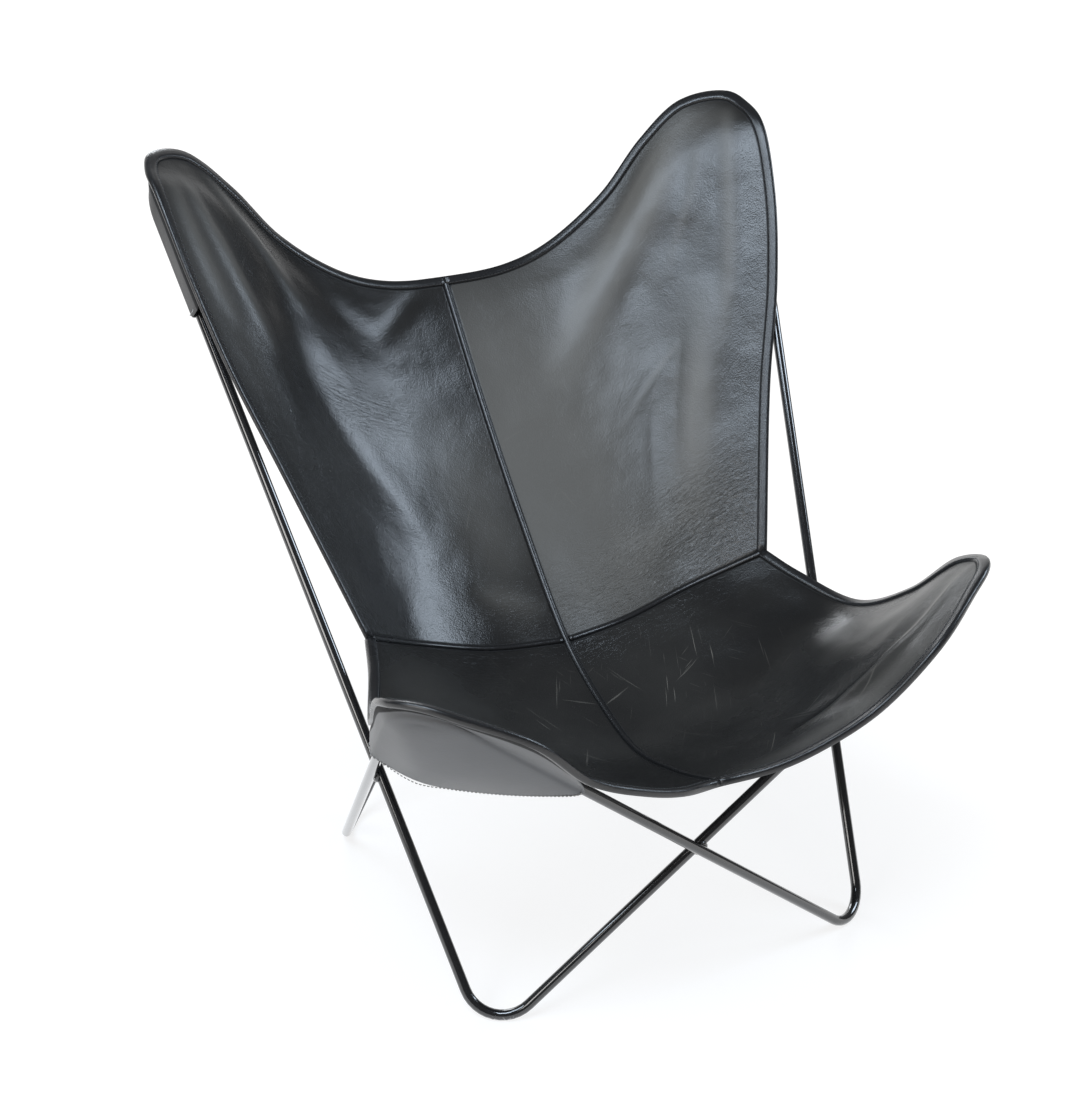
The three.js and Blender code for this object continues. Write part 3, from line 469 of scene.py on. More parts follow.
def grid_normals(grid, side):
    """Normals of a grid of points that look at the sitter"""
    faces = np.cross(grid[:-1, 1:] - grid[1:, :-1], grid[1:, 1:] - grid[:-1, :-1])
    normals = np.zeros_like(grid)
    for j in (0, 1):
        for i in (0, 1):
            normals[j:j + len(faces), i:i + faces.shape[1]] += faces
    return unit(normals) * side


def press_fold(grid, normals, line, height, width, step):
    """Raises a soft fold along a line, or a step that faces to one side of it, and tells where it is"""
    points = grid.reshape(-1, 3)
    best = np.full(len(points), np.inf)
    travel = np.zeros(len(points))
    sign = np.zeros(len(points))
    flat_normals = normals.reshape(-1, 3)
    for k, (start, end) in enumerate(zip(line, line[1:])):
        way = end - start
        share = np.clip((points - start) @ way / (way @ way), 0, 1)
        away = points - start - share[:, None] * way
        distance = np.linalg.norm(away, axis=1)
        closer = distance < best
        best[closer] = distance[closer]
        travel[closer] = (k + share[closer]) / (len(line) - 1)
        side = (np.cross(way, away) * flat_normals).sum(1)
        sign[closer] = np.sign(side[closer])
    fade = np.sin(np.pi * np.clip(travel, 0, 1)) ** fold_fade_power
    ratio = sign * best / width
    stripe = (np.exp(-ratio ** 2) * fade).reshape(grid.shape[:2])
    lift = (height + step * ratio.reshape(stripe.shape)) * stripe
    return grid + normals * lift[..., None], stripe


def rod_spans(bend):
    """Straight pieces of the rod near a tip"""
    first = bend.points[0] + bend.in_leg * rod_run
    last = bend.points[-1] + bend.out_leg * rod_run
    points = [first, *bend.points, last]
    return list(zip(points, points[1:]))


def neighbours(lift):
    """Mean of the four points round each inner point of a grid"""
    return (lift[:-2, 1:-1] + lift[2:, 1:-1] + lift[1:-1, :-2] + lift[1:-1, 2:]) / 4


def rest_on_rods(grid, tip):
    """Lifts a panel over the rods behind it, with the leather drawn tight like a tent beside them"""
    reach = rod_radius + leather_thickness / 2 + rod_gap
    need = np.zeros(grid.shape[:2])
    for start, end in rod_spans(tip.bend):
        way = end - start
        share = np.clip((grid - start) @ way / (way @ way), 0, 1)
        away = grid - start - share[..., None] * way
        height = away @ tip.up
        aside = np.linalg.norm(away - height[..., None] * tip.up, axis=-1)
        over = np.sqrt(np.clip(reach ** 2 - aside ** 2, 0, None)) - height
        need = np.where(aside < reach, np.maximum(need, over), need)
    lift = np.zeros_like(need)
    for _ in range(tent_passes):
        lift[1:-1, 1:-1] = np.maximum(need[1:-1, 1:-1], neighbours(lift) * tent_pull)
    for _ in range(tent_soften):
        lift[1:-1, 1:-1] = neighbours(lift)
    return grid + lift[..., None] * tip.up


def mesh_object(name, points, faces, material):
    """A smooth piece of the chair"""
    mesh = bpy.data.meshes.new(name)
    mesh.from_pydata([tuple(p) for p in points], [], [tuple(int(k) for k in f) for f in faces])
    mesh.polygons.foreach_set("use_smooth", [True] * len(mesh.polygons))
    mesh.materials.append(material)
    made = bpy.data.objects.new(name, mesh)
    bpy.context.scene.collection.objects.link(made)
    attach(made, "root")
    return made


def grid_quads(rows, columns):
    """Numbers of the four points of each face of a grid"""
    index = np.arange(rows * columns).reshape(rows, columns)
    corners = [index[:-1, :-1], index[:-1, 1:], index[1:, 1:], index[1:, :-1]]
    return np.stack(corners, axis=-1).reshape(-1, 4)


def sheet_object(name, grid, normals, thickness, side, material):
    """A sheet with its thickness, closed round its edge"""
    rows, columns = grid.shape[:2]
    count = rows * columns
    front = (grid + normals * thickness / 2).reshape(-1, 3)
    back = (grid - normals * thickness / 2).reshape(-1, 3)
    index = np.arange(count).reshape(rows, columns)
    quads = grid_quads(rows, columns)
    rim = [*index[0, :-1], *index[:-1, -1], *index[-1, :0:-1], *index[:0:-1, 0]]
    if side < 0:
        quads = quads[:, ::-1]
        rim = rim[::-1]
    strip = [(b, a, a + count, b + count) for a, b in zip(rim, rim[1:] + rim[:1])]
    faces = [*quads, *(quads[:, ::-1] + count), *strip]
    return mesh_object(name, np.vstack((front, back)), faces, material)


# Leather's grain, creases, scratches and rubbing, with painted sheen in some rubbed patches and painted
# shade in the groove beside sewn trim. Each scratch set has its turn on the hide in radians, its pitch
# and its shift.
pebble_share = 0.22
wrinkle_pitch = 60.0
grain_depth = 0.0009
crease_pitch = 210.0
crease_stretch = 0.22
crease_depth = 3.0
scratch_sets = ((0.62, 330.0, 0.0), (-0.5, 270.0, 0.31), (1.25, 300.0, 0.77))
scratch_stretch = 0.032
scratch_edge = (0.715, 0.775)
scratch_tone = (0.2, 0.185, 0.16, 1)
cloud_pitch = 9.0
cloud_wear = 0.11
# Painted shade beside sewn trim: how far from the trim its dark line reaches, and its colour
groove_shade_reach = (0.0004, 0.0024)
painted_shade_tone = (0.002, 0.002, 0.002, 1)


def new_group(name, inputs, outputs):
    """An empty node group with its named sockets, what it is given and what it puts out"""
    group = bpy.data.node_groups.new(name, "ShaderNodeTree")
    for socket_name, kind in inputs.items():
        group.interface.new_socket(socket_name, in_out="INPUT", socket_type="NodeSocket" + kind)
    for socket_name in outputs:
        group.interface.new_socket(socket_name, in_out="OUTPUT", socket_type="NodeSocketFloat")
    given = add_node(group, "NodeGroupInput").outputs
    result = add_node(group, "NodeGroupOutput").inputs
    return group, given, result


def grain_group():
    """Leather grain: fine pebbles between creases, and drawn wrinkles"""
    group, given, result = new_group(
        "leather_grain", {"Vector": "Vector", "Pebbles": "Float", "Wrinkle Depth": "Float"}, ["Height"]
    )
    pebbles = add_node(group, "ShaderNodeTexVoronoi", {
        "Vector": given["Vector"], "Scale": given["Pebbles"],
    }, feature="SMOOTH_F1")
    wrinkles = noise_value(group, given["Vector"], wrinkle_pitch, 6.0, 0.6, 0.6)
    deep = value_math(group, "MULTIPLY", wrinkles, given["Wrinkle Depth"])
    fine = value_math(group, "MULTIPLY", pebbles.outputs["Distance"], pebble_share)
    group.links.new(value_math(group, "ADD", deep, fine), result["Height"])
    return group


def crease_group():
    """Fine creases that run along the seams, and hairline scratches"""
    group, given, result = new_group("leather_creases", {"Cut": "Vector"}, ["Creases", "Scratches"])
    drawn = add_node(group, "ShaderNodeMapping", {
        "Vector": given["Cut"], "Scale": (crease_stretch, 1.0, 1.0),
    })
    creases = noise_value(group, drawn.outputs["Vector"], crease_pitch, 3.0, distortion=1.2)
    ridged = value_math(group, "SUBTRACT", creases, 0.5)
    group.links.new(value_math(group, "ABSOLUTE", ridged), result["Creases"])
    scratches = None
    for turn, pitch, shift in scratch_sets:
        turned = add_node(group, "ShaderNodeMapping", {
            "Vector": given["Cut"], "Rotation": (0, 0, turn), "Location": (shift, 0, 0),
        })
        narrow = add_node(group, "ShaderNodeVectorMath", {
            0: turned.outputs["Vector"], 1: (1.0, scratch_stretch, 1.0),
        }, operation="MULTIPLY")
        streaks = noise_value(group, narrow.outputs[0], pitch, 1.0, distortion=0.5)
        lines = carried_over(group, streaks, scratch_edge)
        first = scratches is None
        scratches = lines if first else value_math(group, "MAXIMUM", scratches, lines)
    group.links.new(scratches, result["Scratches"])
    return group


def wear_and_sheen_group():
    """Rubbing and painted sheen where the leather is marked for them, with faint clouds of rubbing all
    over
    """
    group, given, result = new_group("leather_wear_and_sheen", {"Vector": "Vector", "Rubbed And Sheen": "Float"}, ["Wear"])
    patches = noise_value(group, given["Vector"], cloud_pitch, 4.0)
    clouds = carried_over(group, patches, noise_middle, (0.0, cloud_wear))
    group.links.new(value_math(group, "ADD", given["Rubbed And Sheen"], clouds, clamp=True), result["Wear"])
    return group


def groove_shade_group():
    """Painted shade: the dark line along the groove beside sewn trim"""
    group, given, result = new_group("seam_groove_shade", {"Beside": "Float", "Shade": "Float"}, ["Soil"])
    groove_shade = carried_over(group, given["Beside"], groove_shade_reach, (given["Shade"], 0.0), "SMOOTHSTEP")
    group.links.new(groove_shade, result["Soil"])
    return group


leather_grain = grain_group()
leather_creases = crease_group()
leather_wear_and_sheen = wear_and_sheen_group()
seam_groove_shade = groove_shade_group()


def placed_group(tree, group, values):
    """What a node group puts out, placed in a tree with its own values"""
    return add_node(tree, "ShaderNodeGroup", values, node_tree=group).outputs


def leather_material(name, dark, worn, smooth, rough, pebbles, wrinkle_depth, coat, groove_shade=0.0):
    """Waxed leather: dark dye that rubs lighter and duller in soft patches, some of them painted sheen,
    with painted shade in the groove beside its trim where asked
    """
    material, tree, output = new_material(name)
    place = add_node(tree, "ShaderNodeTexCoord").outputs["Object"]
    cut, wear_and_sheen_marks, beside = [
        add_node(tree, "ShaderNodeAttribute", attribute_name=word).outputs
        for word in ("cut", "wear_and_sheen", "beside")
    ]
    marks = add_node(tree, "ShaderNodeSeparateXYZ", {"Vector": wear_and_sheen_marks["Vector"]}).outputs
    grain = placed_group(tree, leather_grain, {
        "Vector": place, "Pebbles": pebbles, "Wrinkle Depth": wrinkle_depth,
    })
    creases = placed_group(tree, leather_creases, {"Cut": cut["Vector"]})
    wear_and_sheen = placed_group(tree, leather_wear_and_sheen, {"Vector": place, "Rubbed And Sheen": marks["X"]})["Wear"]
    scratched = value_math(tree, "MULTIPLY", creases["Scratches"], marks["Z"])
    colour = mixed_colour(tree, wear_and_sheen, dark, worn)
    colour = mixed_colour(tree, scratched, colour, scratch_tone)
    roughness = carried_over(tree, wear_and_sheen, (0.0, 1.0), (smooth, rough))
    # Painted shade: the groove beside the trim is darkened and dulled
    if groove_shade:
        groove_shaded = placed_group(tree, seam_groove_shade, {"Beside": beside["Fac"], "Shade": groove_shade})["Soil"]
        colour = mixed_colour(tree, groove_shaded, colour, painted_shade_tone)
        roughness = value_math(tree, "ADD", roughness, groove_shaded, clamp=True)
    creased = value_math(tree, "MULTIPLY", creases["Creases"], marks["Y"])
    relief = value_math(tree, "MULTIPLY_ADD", creased, crease_depth, grain["Height"])
    bump = add_node(tree, "ShaderNodeBump", {
        "Height": relief, "Strength": 1.0, "Distance": grain_depth,
    })
    hide = add_node(tree, "ShaderNodeBsdfPrincipled", {
        "Base Color": colour,
        "Roughness": roughness,
        "Normal": bump.outputs["Normal"],
        "Coat Weight": coat,
        "Coat Roughness": 0.3,
    })
    tree.links.new(hide.outputs[0], output.inputs["Surface"])
    return material


sling_leather = leather_material(
    "sling_leather",
    dark=(0.006, 0.006, 0.0065, 1),
    worn=(0.126, 0.119, 0.107, 1),
    smooth=0.25,
    rough=0.46,
    pebbles=640.0,
    wrinkle_depth=0.6,
    coat=0.2,
    groove_shade=0.9,
)


def ease_in(shares):
    """Lines closer together towards the tip"""
    return 1 - (1 - shares) ** tip_ease


def soft_patches(patches, u, v):
    """Strength of soft round patches at each point of a panel, given in shares across and up it"""
    total = np.zeros((len(v), len(u)))
    for patch_u, patch_v, wide, tall, amount in patches:
        away = ((u[None, :] - patch_u) / wide) ** 2 + ((v[:, None] - patch_v) / tall) ** 2
        total = total + amount * np.exp(-away)
    return np.clip(total, 0, 1)


def nearest(points, line):
    """Distance from each point to the nearest of a line's points"""
    return np.min([np.linalg.norm(points - place, axis=-1) for place in line], axis=0)


def mark_points(piece, name, values):
    """Gives the points on both faces of a sheet a value or a vector each"""
    kind, field = ("FLOAT_VECTOR", "vector") if values.ndim == 3 else ("FLOAT", "value")
    layer = piece.data.attributes.new(name, kind, "POINT")
    layer.data.foreach_set(field, np.tile(values.ravel(), 2).astype(np.float32))


def mark_leather(piece, grid, wear_and_sheen, crest_wear_and_sheen, u, v, tip_on_top):
    """Tells the leather where it is rubbed and where sheen is painted on it, where it is creased and
    scratched, how far it is from the trim sewn round it for the painted shade beside it, and its place on
    the flat hide"""
    width, length = flat_size(grid)[0]
    tip_edge, seam_edge = (grid[-1], grid[0]) if tip_on_top else (grid[0], grid[-1])
    from_edges = nearest(grid, np.vstack((tip_edge, grid[:, -1])))
    from_seams = nearest(grid, np.vstack((seam_edge, grid[:, 0])))
    beside = np.minimum(from_edges - binding_width, from_seams - welt_half_width)
    mark_points(piece, "beside", beside)
    across, up = np.meshgrid(u * width, v * length)
    mark_points(piece, "cut", np.stack((across, up, np.zeros_like(up)), axis=-1))
    amounts = np.stack([soft_patches(patches, u, v) for patches in wear_and_sheen], axis=-1)
    amounts[..., 0] = np.clip(amounts[..., 0] + crest_wear_and_sheen, 0, 1)
    mark_points(piece, "wear_and_sheen", amounts)


def work_uneven(grid, normals, seed):
    """Gives hung leather its slight unevenness, broad and small"""
    heights = np.zeros(grid.shape[:2])
    for pitch, depth in uneven_waves:
        for j, row in enumerate(grid):
            for i, point in enumerate(row):
                heights[j, i] += depth * noise.noise(Vector(point) / pitch + Vector((seed, 0, 0)))
    return grid + normals * heights[..., None]


def flat_size(grid):
    """Widest and longest run of a panel, and its area, as it was cut"""
    width = np.linalg.norm(np.diff(grid, axis=1), axis=-1).sum(1).max()
    length = np.linalg.norm(np.diff(grid, axis=0), axis=-1).sum(0).max()
    halves = np.cross(grid[1:, 1:] - grid[:-1, :-1], grid[1:, :-1] - grid[:-1, 1:])
    return (float(width), float(length)), float(np.linalg.norm(halves, axis=-1).sum() / 2)


def sling_side(side):
    """The tips of one half of the sling, and the four edges of each of its panels"""
    mirror = np.array((side, 1, 1))
    high_loop, front_loop = (right_loop, left_loop) if side > 0 else (left_loop, right_loop)
    high = tip_axes(high_loop.high, side, True)
    front = tip_axes(front_loop.front, side, False)

    def run(start, end, hang, shares):
        return [mark * mirror for mark in hung(start, end, hang, shares)]

    top_edge = run(top_middle, high_tip, top_hang, top_shares)
    side_edge = run(waist, high_tip, side_hang, side_shares)
    arm_edge = run(waist, front_tip, arm_hang, arm_shares)
    front_edge = run(front_middle, front_tip, front_hang, front_shares)
    back_rim = smooth_line([
        top_edge[0] * (-1, 1, 1), top_middle, *top_edge,
        *rim_marks(high, high_rim, high_rim_shares), *side_edge, waist * mirror,
    ])
    seat_rim = smooth_line([
        waist * mirror, *arm_edge, *rim_marks(front, front_rim, front_rim_shares),
        *front_edge, front_middle, front_edge[-1] * (-1, 1, 1),
    ])
    # The corner of a panel at the tip is the second of the marks round it
    high_apex = len(top_edge) + 3
    front_apex = len(arm_edge) + 2
    back_end = (len(back_rim) - 1) // curve_steps
    seat_end = (len(seat_rim) - 1) // curve_steps - 1
    back_seam = hung(crossing, top_middle, back_seam_hang, back_seam_shares)
    seat_seam = hung(crossing, front_middle, seat_seam_hang, seat_seam_shares)
    middle = smooth_line([top_middle, *back_seam, crossing, *seat_seam, front_middle])
    cross_index = len(back_seam) + 1
    middle_end = (len(middle) - 1) // curve_steps
    cross = smooth_line([
        crossing, *run(crossing, waist, cross_seam_hang, cross_seam_shares), waist * mirror,
    ])
    back_edges = SimpleNamespace(
        bottom=cross,
        top=cut_line(back_rim, 1, high_apex),
        inner=cut_line(middle, cross_index, 0),
        outer=cut_line(back_rim, back_end, high_apex),
    )
    seat_edges = SimpleNamespace(
        bottom=cut_line(seat_rim, seat_end, front_apex),
        top=cross,
        inner=cut_line(middle, middle_end, cross_index),
        outer=cut_line(seat_rim, front_apex, 0),
    )
    return SimpleNamespace(high=high, front=front, back_edges=back_edges, seat_edges=seat_edges)


sides = {"right": 1, "left": -1}
halves = {word: sling_side(side) for word, side in sides.items()}

# Folds of each panel: a line of places as shares across and up the panel, then the fold's height, its
# half width, the step across it and how far its crest is rubbed paler, which also paints in the highlight
# along the crest
panel_folds = {
    "back_panel_right": [
        (((0.88, 0.99), (0.75, 0.94), (0.60, 0.88), (0.41, 0.79), (0.22, 0.64)), 0.0062, 0.025, 0, 1.0),
        (((0.80, 0.92), (0.74, 0.80), (0.69, 0.66), (0.60, 0.50)), -0.0009, 0.018, 0, 0),
        (((0.84, 0.92), (0.80, 0.85), (0.76, 0.80), (0.71, 0.76), (0.64, 0.68)), 0.0008, 0.007, 0, 0.3),
        (((0.95, 0.95), (0.91, 0.88), (0.88, 0.74), (0.86, 0.58), (0.83, 0.44)), 0.0011, 0.010, 0, 0.6),
        (((0.88, 0.88), (0.85, 0.78), (0.83, 0.67), (0.80, 0.56)), -0.0003, 0.008, 0, 0),
        (((0.80, 0.62), (0.76, 0.46), (0.72, 0.30), (0.66, 0.14)), 0.0056, 0.027, 0, 0.45),
        (((0.68, 0.56), (0.65, 0.42), (0.62, 0.24)), -0.0007, 0.006, 0, 0),
        (((0.56, 0.48), (0.54, 0.36), (0.52, 0.22)), -0.0005, 0.006, 0, 0),
        (((0.70, 0.54), (0.58, 0.52), (0.40, 0.44)), 0.0005, 0.0035, 0.0006, 0.3),
        (((0.80, 0.17), (0.52, 0.15), (0.30, 0.13), (0.10, 0.06)), 0.0014, 0.014, 0, 0.25),
        (((0.85, 0.09), (0.55, 0.07), (0.30, 0.05)), -0.0012, 0.012, 0, 0),
    ],
    "back_panel_left": [
        (((0.95, 0.93), (0.93, 0.83), (0.91, 0.72), (0.88, 0.62)), 0.0016, 0.011, 0, 0.45),
        (((0.90, 0.93), (0.86, 0.86), (0.82, 0.78), (0.78, 0.70), (0.74, 0.60)), 0.0020, 0.010, 0, 0.55),
        (((0.83, 0.99), (0.75, 0.95), (0.66, 0.91), (0.58, 0.87), (0.50, 0.80)), 0.0032, 0.012, 0, 0.55),
        (((0.66, 0.84), (0.62, 0.70), (0.56, 0.54), (0.43, 0.38), (0.32, 0.24)), -0.0065, 0.036, 0, 0),
        (((0.52, 0.96), (0.40, 0.90), (0.31, 0.83), (0.22, 0.74)), -0.0027, 0.024, 0, 0),
        (((0.06, 0.99), (0.14, 0.93), (0.22, 0.86), (0.29, 0.80)), -0.0024, 0.013, 0, 0),
        (((0.30, 0.16), (0.20, 0.13), (0.12, 0.11), (0.04, 0.07)), 0.0034, 0.016, 0, 0.3),
    ],
    "seat_panel_right": [
        (((0.96, 0.04), (0.80, 0.09), (0.62, 0.13), (0.43, 0.155), (0.28, 0.17)), 0.0054, 0.014, 0, 0),
        (((0.96, 0.04), (0.80, 0.09), (0.62, 0.13), (0.43, 0.155), (0.28, 0.17)), 0.0016, 0.0045, 0, 0.9),
        (((0.96, 0.02), (0.80, 0.065), (0.62, 0.105), (0.43, 0.13)), -0.0008, 0.005, 0, 0),
        (((0.97, 0.10), (0.82, 0.15), (0.62, 0.20), (0.44, 0.22), (0.30, 0.22)), -0.0052, 0.018, 0, 0),
        (((0.97, 0.20), (0.84, 0.28), (0.72, 0.40), (0.60, 0.46)), 0.0018, 0.020, 0, 0.3),
    ],
    "seat_panel_left": [],
}
# Pitch and depth of the unevenness of hung leather, and the share of a panel over which its edges
# hold it still
uneven_waves = ((0.055, 0.0011), (0.02, 0.00028))
still_share = 1 / 12
# Of the points of a fold's line, every fold_skip-th is enough
fold_skip = 8
# Patches of each panel that are rubbed, creased and scratched: place, reach across and up it, and
# strength. Some rubbed patches are painted sheen: the narrow one at 0.75, 0.34 on the right of the back
# is a painted highlight on the lower ridge, the one at 0.14, 0.40 on the left of the back paints in part
# of the soft highlight near the middle seam, and on the right of the seat the long one at 0.5, 0.07
# paints the sheen inside the front edge and the three along the wing partly paint in its lit band.
wear_and_sheen_patches = {
    "back_panel_right": (
        [(0.15, 0.35, 0.45, 0.45, 0.95), (0.1, 0.8, 0.3, 0.3, 0.45), (0.5, 0.12, 0.4, 0.14, 0.4),
         (0.58, 0.90, 0.16, 0.05, 0.4), (0.87, 0.93, 0.07, 0.05, 0.5), (0.75, 0.34, 0.06, 0.13, 0.6)],
        [(0.3, 0.08, 0.4, 0.12, 1.0), (0.7, 0.14, 0.3, 0.12, 0.9)],
        [(0.5, 0.4, 0.5, 0.5, 0.25)],
    ),
    "back_panel_left": (
        [(0.9, 0.70, 0.10, 0.26, 0.4), (0.14, 0.40, 0.17, 0.26, 0.45)],
        [(0.4, 0.62, 0.2, 0.08, 0.4), (0.15, 0.1, 0.2, 0.1, 0.6)],
        [(0.4, 0.5, 0.5, 0.5, 0.2)],
    ),
    "seat_panel_right": (
        [(0.25, 0.7, 0.3, 0.3, 0.10), (0.5, 0.07, 0.3, 0.05, 0.5), (0.78, 0.42, 0.10, 0.12, 0.3),
         (0.80, 0.24, 0.08, 0.12, 0.4), (0.88, 0.13, 0.08, 0.08, 0.6)],
        [(0.3, 0.95, 0.4, 0.1, 0.6)],
        [(0.3, 0.75, 0.28, 0.16, 1.0), (0.3, 0.2, 0.3, 0.16, 0.6)],
    ),
    "seat_panel_left": (
        [(0.3, 0.6, 0.3, 0.3, 0.1), (0.76, 0.79, 0.2, 0.15, 0.15)],
        [(0.3, 0.95, 0.4, 0.1, 0.4)],
        [(0.2, 0.85, 0.12, 0.16, 0.9), (0.16, 0.6, 0.14, 0.12, 0.9)],
    ),
}

surfaces = {}
for word, half in halves.items():
    u = ease_in(np.linspace(0, 1, panel_columns + 1))
    for part, edges, rows, tip in (
        ("back", half.back_edges, back_rows, half.high),
        ("seat", half.seat_edges, seat_rows, half.front),
    ):
        name = f"{part}_panel_{word}"
        v = ease_in(np.linspace(0, 1, rows + 1))
        if part == "seat":
            v = 1 - v[::-1]
        grid = panel_points(edges, u, v)
        normals = grid_normals(grid, sides[word])
        crest_wear_and_sheen = np.zeros(grid.shape[:2])
        for places, height, width, step, rub_and_sheen in panel_folds[name]:
            marks = [panel_points(edges, [place_u], [place_v])[0, 0] for place_u, place_v in places]
            line = smooth_line(marks)[::fold_skip]
            grid, stripe = press_fold(grid, normals, line, height, width, step)
            # The crest is rubbed paler, and this also paints in its highlight
            crest_wear_and_sheen += stripe * rub_and_sheen
        margin = np.minimum.outer(np.minimum(v, 1 - v), np.minimum(u, 1 - u))
        still = np.minimum(1, margin / still_share)
        grid = grid + (work_uneven(grid, normals, len(surfaces)) - grid) * still[..., None]
        grid = rest_on_rods(grid, tip)
        normals = grid_normals(grid, sides[word])
        panel = sheet_object(
            f"{name}_leather", grid, normals, leather_thickness, sides[word], sling_leather
        )
        mark_leather(panel, grid, wear_and_sheen_patches[name], crest_wear_and_sheen, u, v, part == "back")
        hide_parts(name)
        tree = BVHTree.FromPolygons(
            [Vector(p) for p in grid.reshape(-1, 3)], grid_quads(*grid.shape[:2]).tolist()
        )
        surfaces[name] = SimpleNamespace(grid=grid, normals=normals, tree=tree, piece=panel)

# Edge binding. A strip of thinner black leather folded over the cut edge and sewn through, rolled
# full round the tips and along the top and front, and lying flatter down the sides of the back.
binding_rise = 0.0030
binding_nose = 0.0026
tip_nose = 0.0056
tip_fullness_reach = 0.085
flat_rise = 0.0012
# Section from the inner end of the upper leg to the nose: shares of the width inward, and of the
# rise above the leather
binding_shares = ((1, 0.0), (0.96, 0.5), (0.82, 0.88), (0.6, 1), (0.36, 1.02), (0.14, 0.86))
binding_sink = 0.0001
# Turns round the nose in degrees, and the turn at which it would meet the legs' full height
nose_turns = (50, 18, -18, -50)
nose_full_turn = 60
rim_softening = 3
height_softening = 2
feel_reach = 0.02
# The back's binding lies flat from this share of its run on, and turns flat over the next share
flat_from_share = 0.55
flat_over_share = 0.1
apex_station = {"back": panel_columns, "seat": seat_rows}
stitch_inset = 0.0080
stitch_pitch = 0.0045
stitch_length = 0.0031
stitch_radius = 0.00042
stitch_sides = 6
stitch_lift_share = 0.9
# Rings of a stitch: shares of its length along it, and of its radius in girth and height
stitch_rings = ((-0.5, 0.5, -1), (-0.3, 1, 0.1), (0.3, 1, 0.1), (0.5, 0.5, -1))
thread_twist_pitch = 1600.0
thread_shade = 0.6
trim_leather = leather_material(
    "trim_leather",
    dark=(0.011, 0.011, 0.012, 1),
    worn=(0.035, 0.034, 0.033, 1),
    smooth=0.27,
    rough=0.45,
    pebbles=900.0,
    wrinkle_depth=0.3,
    coat=0.3,
)


def thread_material(name, colour):
    """Waxed linen thread with its twist"""
    material, tree, output = new_material(name)
    place = add_node(tree, "ShaderNodeTexCoord").outputs["Object"]
    twist = noise_value(tree, place, thread_twist_pitch, 2.0)
    shaded = (*(thread_shade * value for value in colour[:3]), 1)
    thread = add_node(tree, "ShaderNodeBsdfPrincipled", {
        "Base Color": mixed_colour(tree, twist, shaded, colour),
        "Roughness": 0.6,
        "Sheen Weight": 0.3,
    })
    tree.links.new(thread.outputs[0], output.inputs["Surface"])
    return material


black_thread = thread_material("black_thread", (0.045, 0.045, 0.047, 1))
pale_thread = thread_material("pale_thread", (0.42, 0.41, 0.39, 1))


def squared(ups, tangent):
    """Upward directions turned square to a line"""
    return unit(ups - (ups * tangent).sum(1)[:, None] * tangent)


def border(surface, start_on_side):
    """Stations round a panel's free edge, from the middle to the waist or from the waist on"""
    grid, normals = surface.grid, surface.normals
    if start_on_side:
        pick = [(j, -1) for j in range(len(grid) - 1, -1, -1)]
        pick += [(0, i) for i in range(grid.shape[1] - 2, -1, -1)]
    else:
        pick = [(-1, i) for i in range(grid.shape[1])]
        pick += [(j, -1) for j in range(len(grid) - 2, -1, -1)]
    at = np.array([grid[p] for p in pick])
    tangent = unit(np.gradient(at, axis=0))
    up = squared(np.array([normals[p] for p in pick]), tangent)
    for _ in range(rim_softening):
        up[1:-1] = unit(up[:-2] + 2 * up[1:-1] + up[2:])
    out = np.cross(tangent, up)
    middle = grid[len(grid) // 2, grid.shape[1] // 2]
    out *= np.sign(((at - middle) * out).sum())
    return SimpleNamespace(at=at, up=up, out=out, tangent=tangent)


def leather_height(surface, points, ups):
    """Height of the leather's middle over points, along their own directions"""
    heights = np.zeros(len(points))
    for k, (point, up) in enumerate(zip(points, ups)):
        hit = surface.tree.ray_cast(Vector(point + up * feel_reach), Vector(-up), 2 * feel_reach)
        if hit[0]:
            heights[k] = feel_reach - hit[3]
        elif k:
            heights[k] = heights[k - 1]
    for _ in range(height_softening):
        heights[1:-1] = (heights[:-2] + 2 * heights[1:-1] + heights[2:]) / 4
    return heights


def mitre(rim, end, cut):
    """Turns the axes of an end station into the plane of its joint"""
    tangent = rim.tangent[end]
    for axis in (rim.out, rim.up):
        axis[end] = axis[end] - tangent * (axis[end] @ cut) / (tangent @ cut)


def ring_object(name, rings, material):
    """A closed piece through rings of points, with its two ends capped"""
    count, sides = rings.shape[:2]
    points = rings.reshape(-1, 3)
    index = np.arange(count * sides).reshape(count, sides)
    a, b = index[:-1], np.roll(index, -1, axis=1)[:-1]
    c, d = np.roll(index, -1, axis=1)[1:], index[1:]
    faces = [*np.stack((a, b, c, d), axis=-1).reshape(-1, 4), index[0][::-1], index[-1]]
    ring_area = np.cross(points[b] - points[a], points[d] - points[a])
    if (ring_area * (points[a] - rings.mean(1)[:-1, None])).sum() < 0:
        faces = [face[::-1] for face in faces]
    return mesh_object(name, points, faces, material)


def binding_rings(surface, rim, rise, fullness):
    """Rings of a binding whose legs lie on both faces of the leather"""
    half = leather_thickness / 2
    upper, lower = [], []
    for share, lift in binding_shares:
        spots = rim.at - rim.out * binding_width * share
        height = leather_height(surface, spots, rim.up)
        over = half + rise * lift - binding_sink
        upper.append(spots + rim.up * (height + over)[:, None])
        lower.append(spots + rim.up * (height - over)[:, None])
    nose = []
    nose_reach = binding_nose + (tip_nose - binding_nose) * fullness
    nose_height = (half + rise) / math.sin(math.radians(nose_full_turn))
    for turn in nose_turns:
        angle = math.radians(turn)
        reach, height = nose_reach * math.cos(angle), nose_height * math.sin(angle)
        nose.append(rim.at + rim.out * reach[:, None] + rim.up * height[:, None])
    return np.stack([*upper, *nose, *lower[::-1]], axis=1)


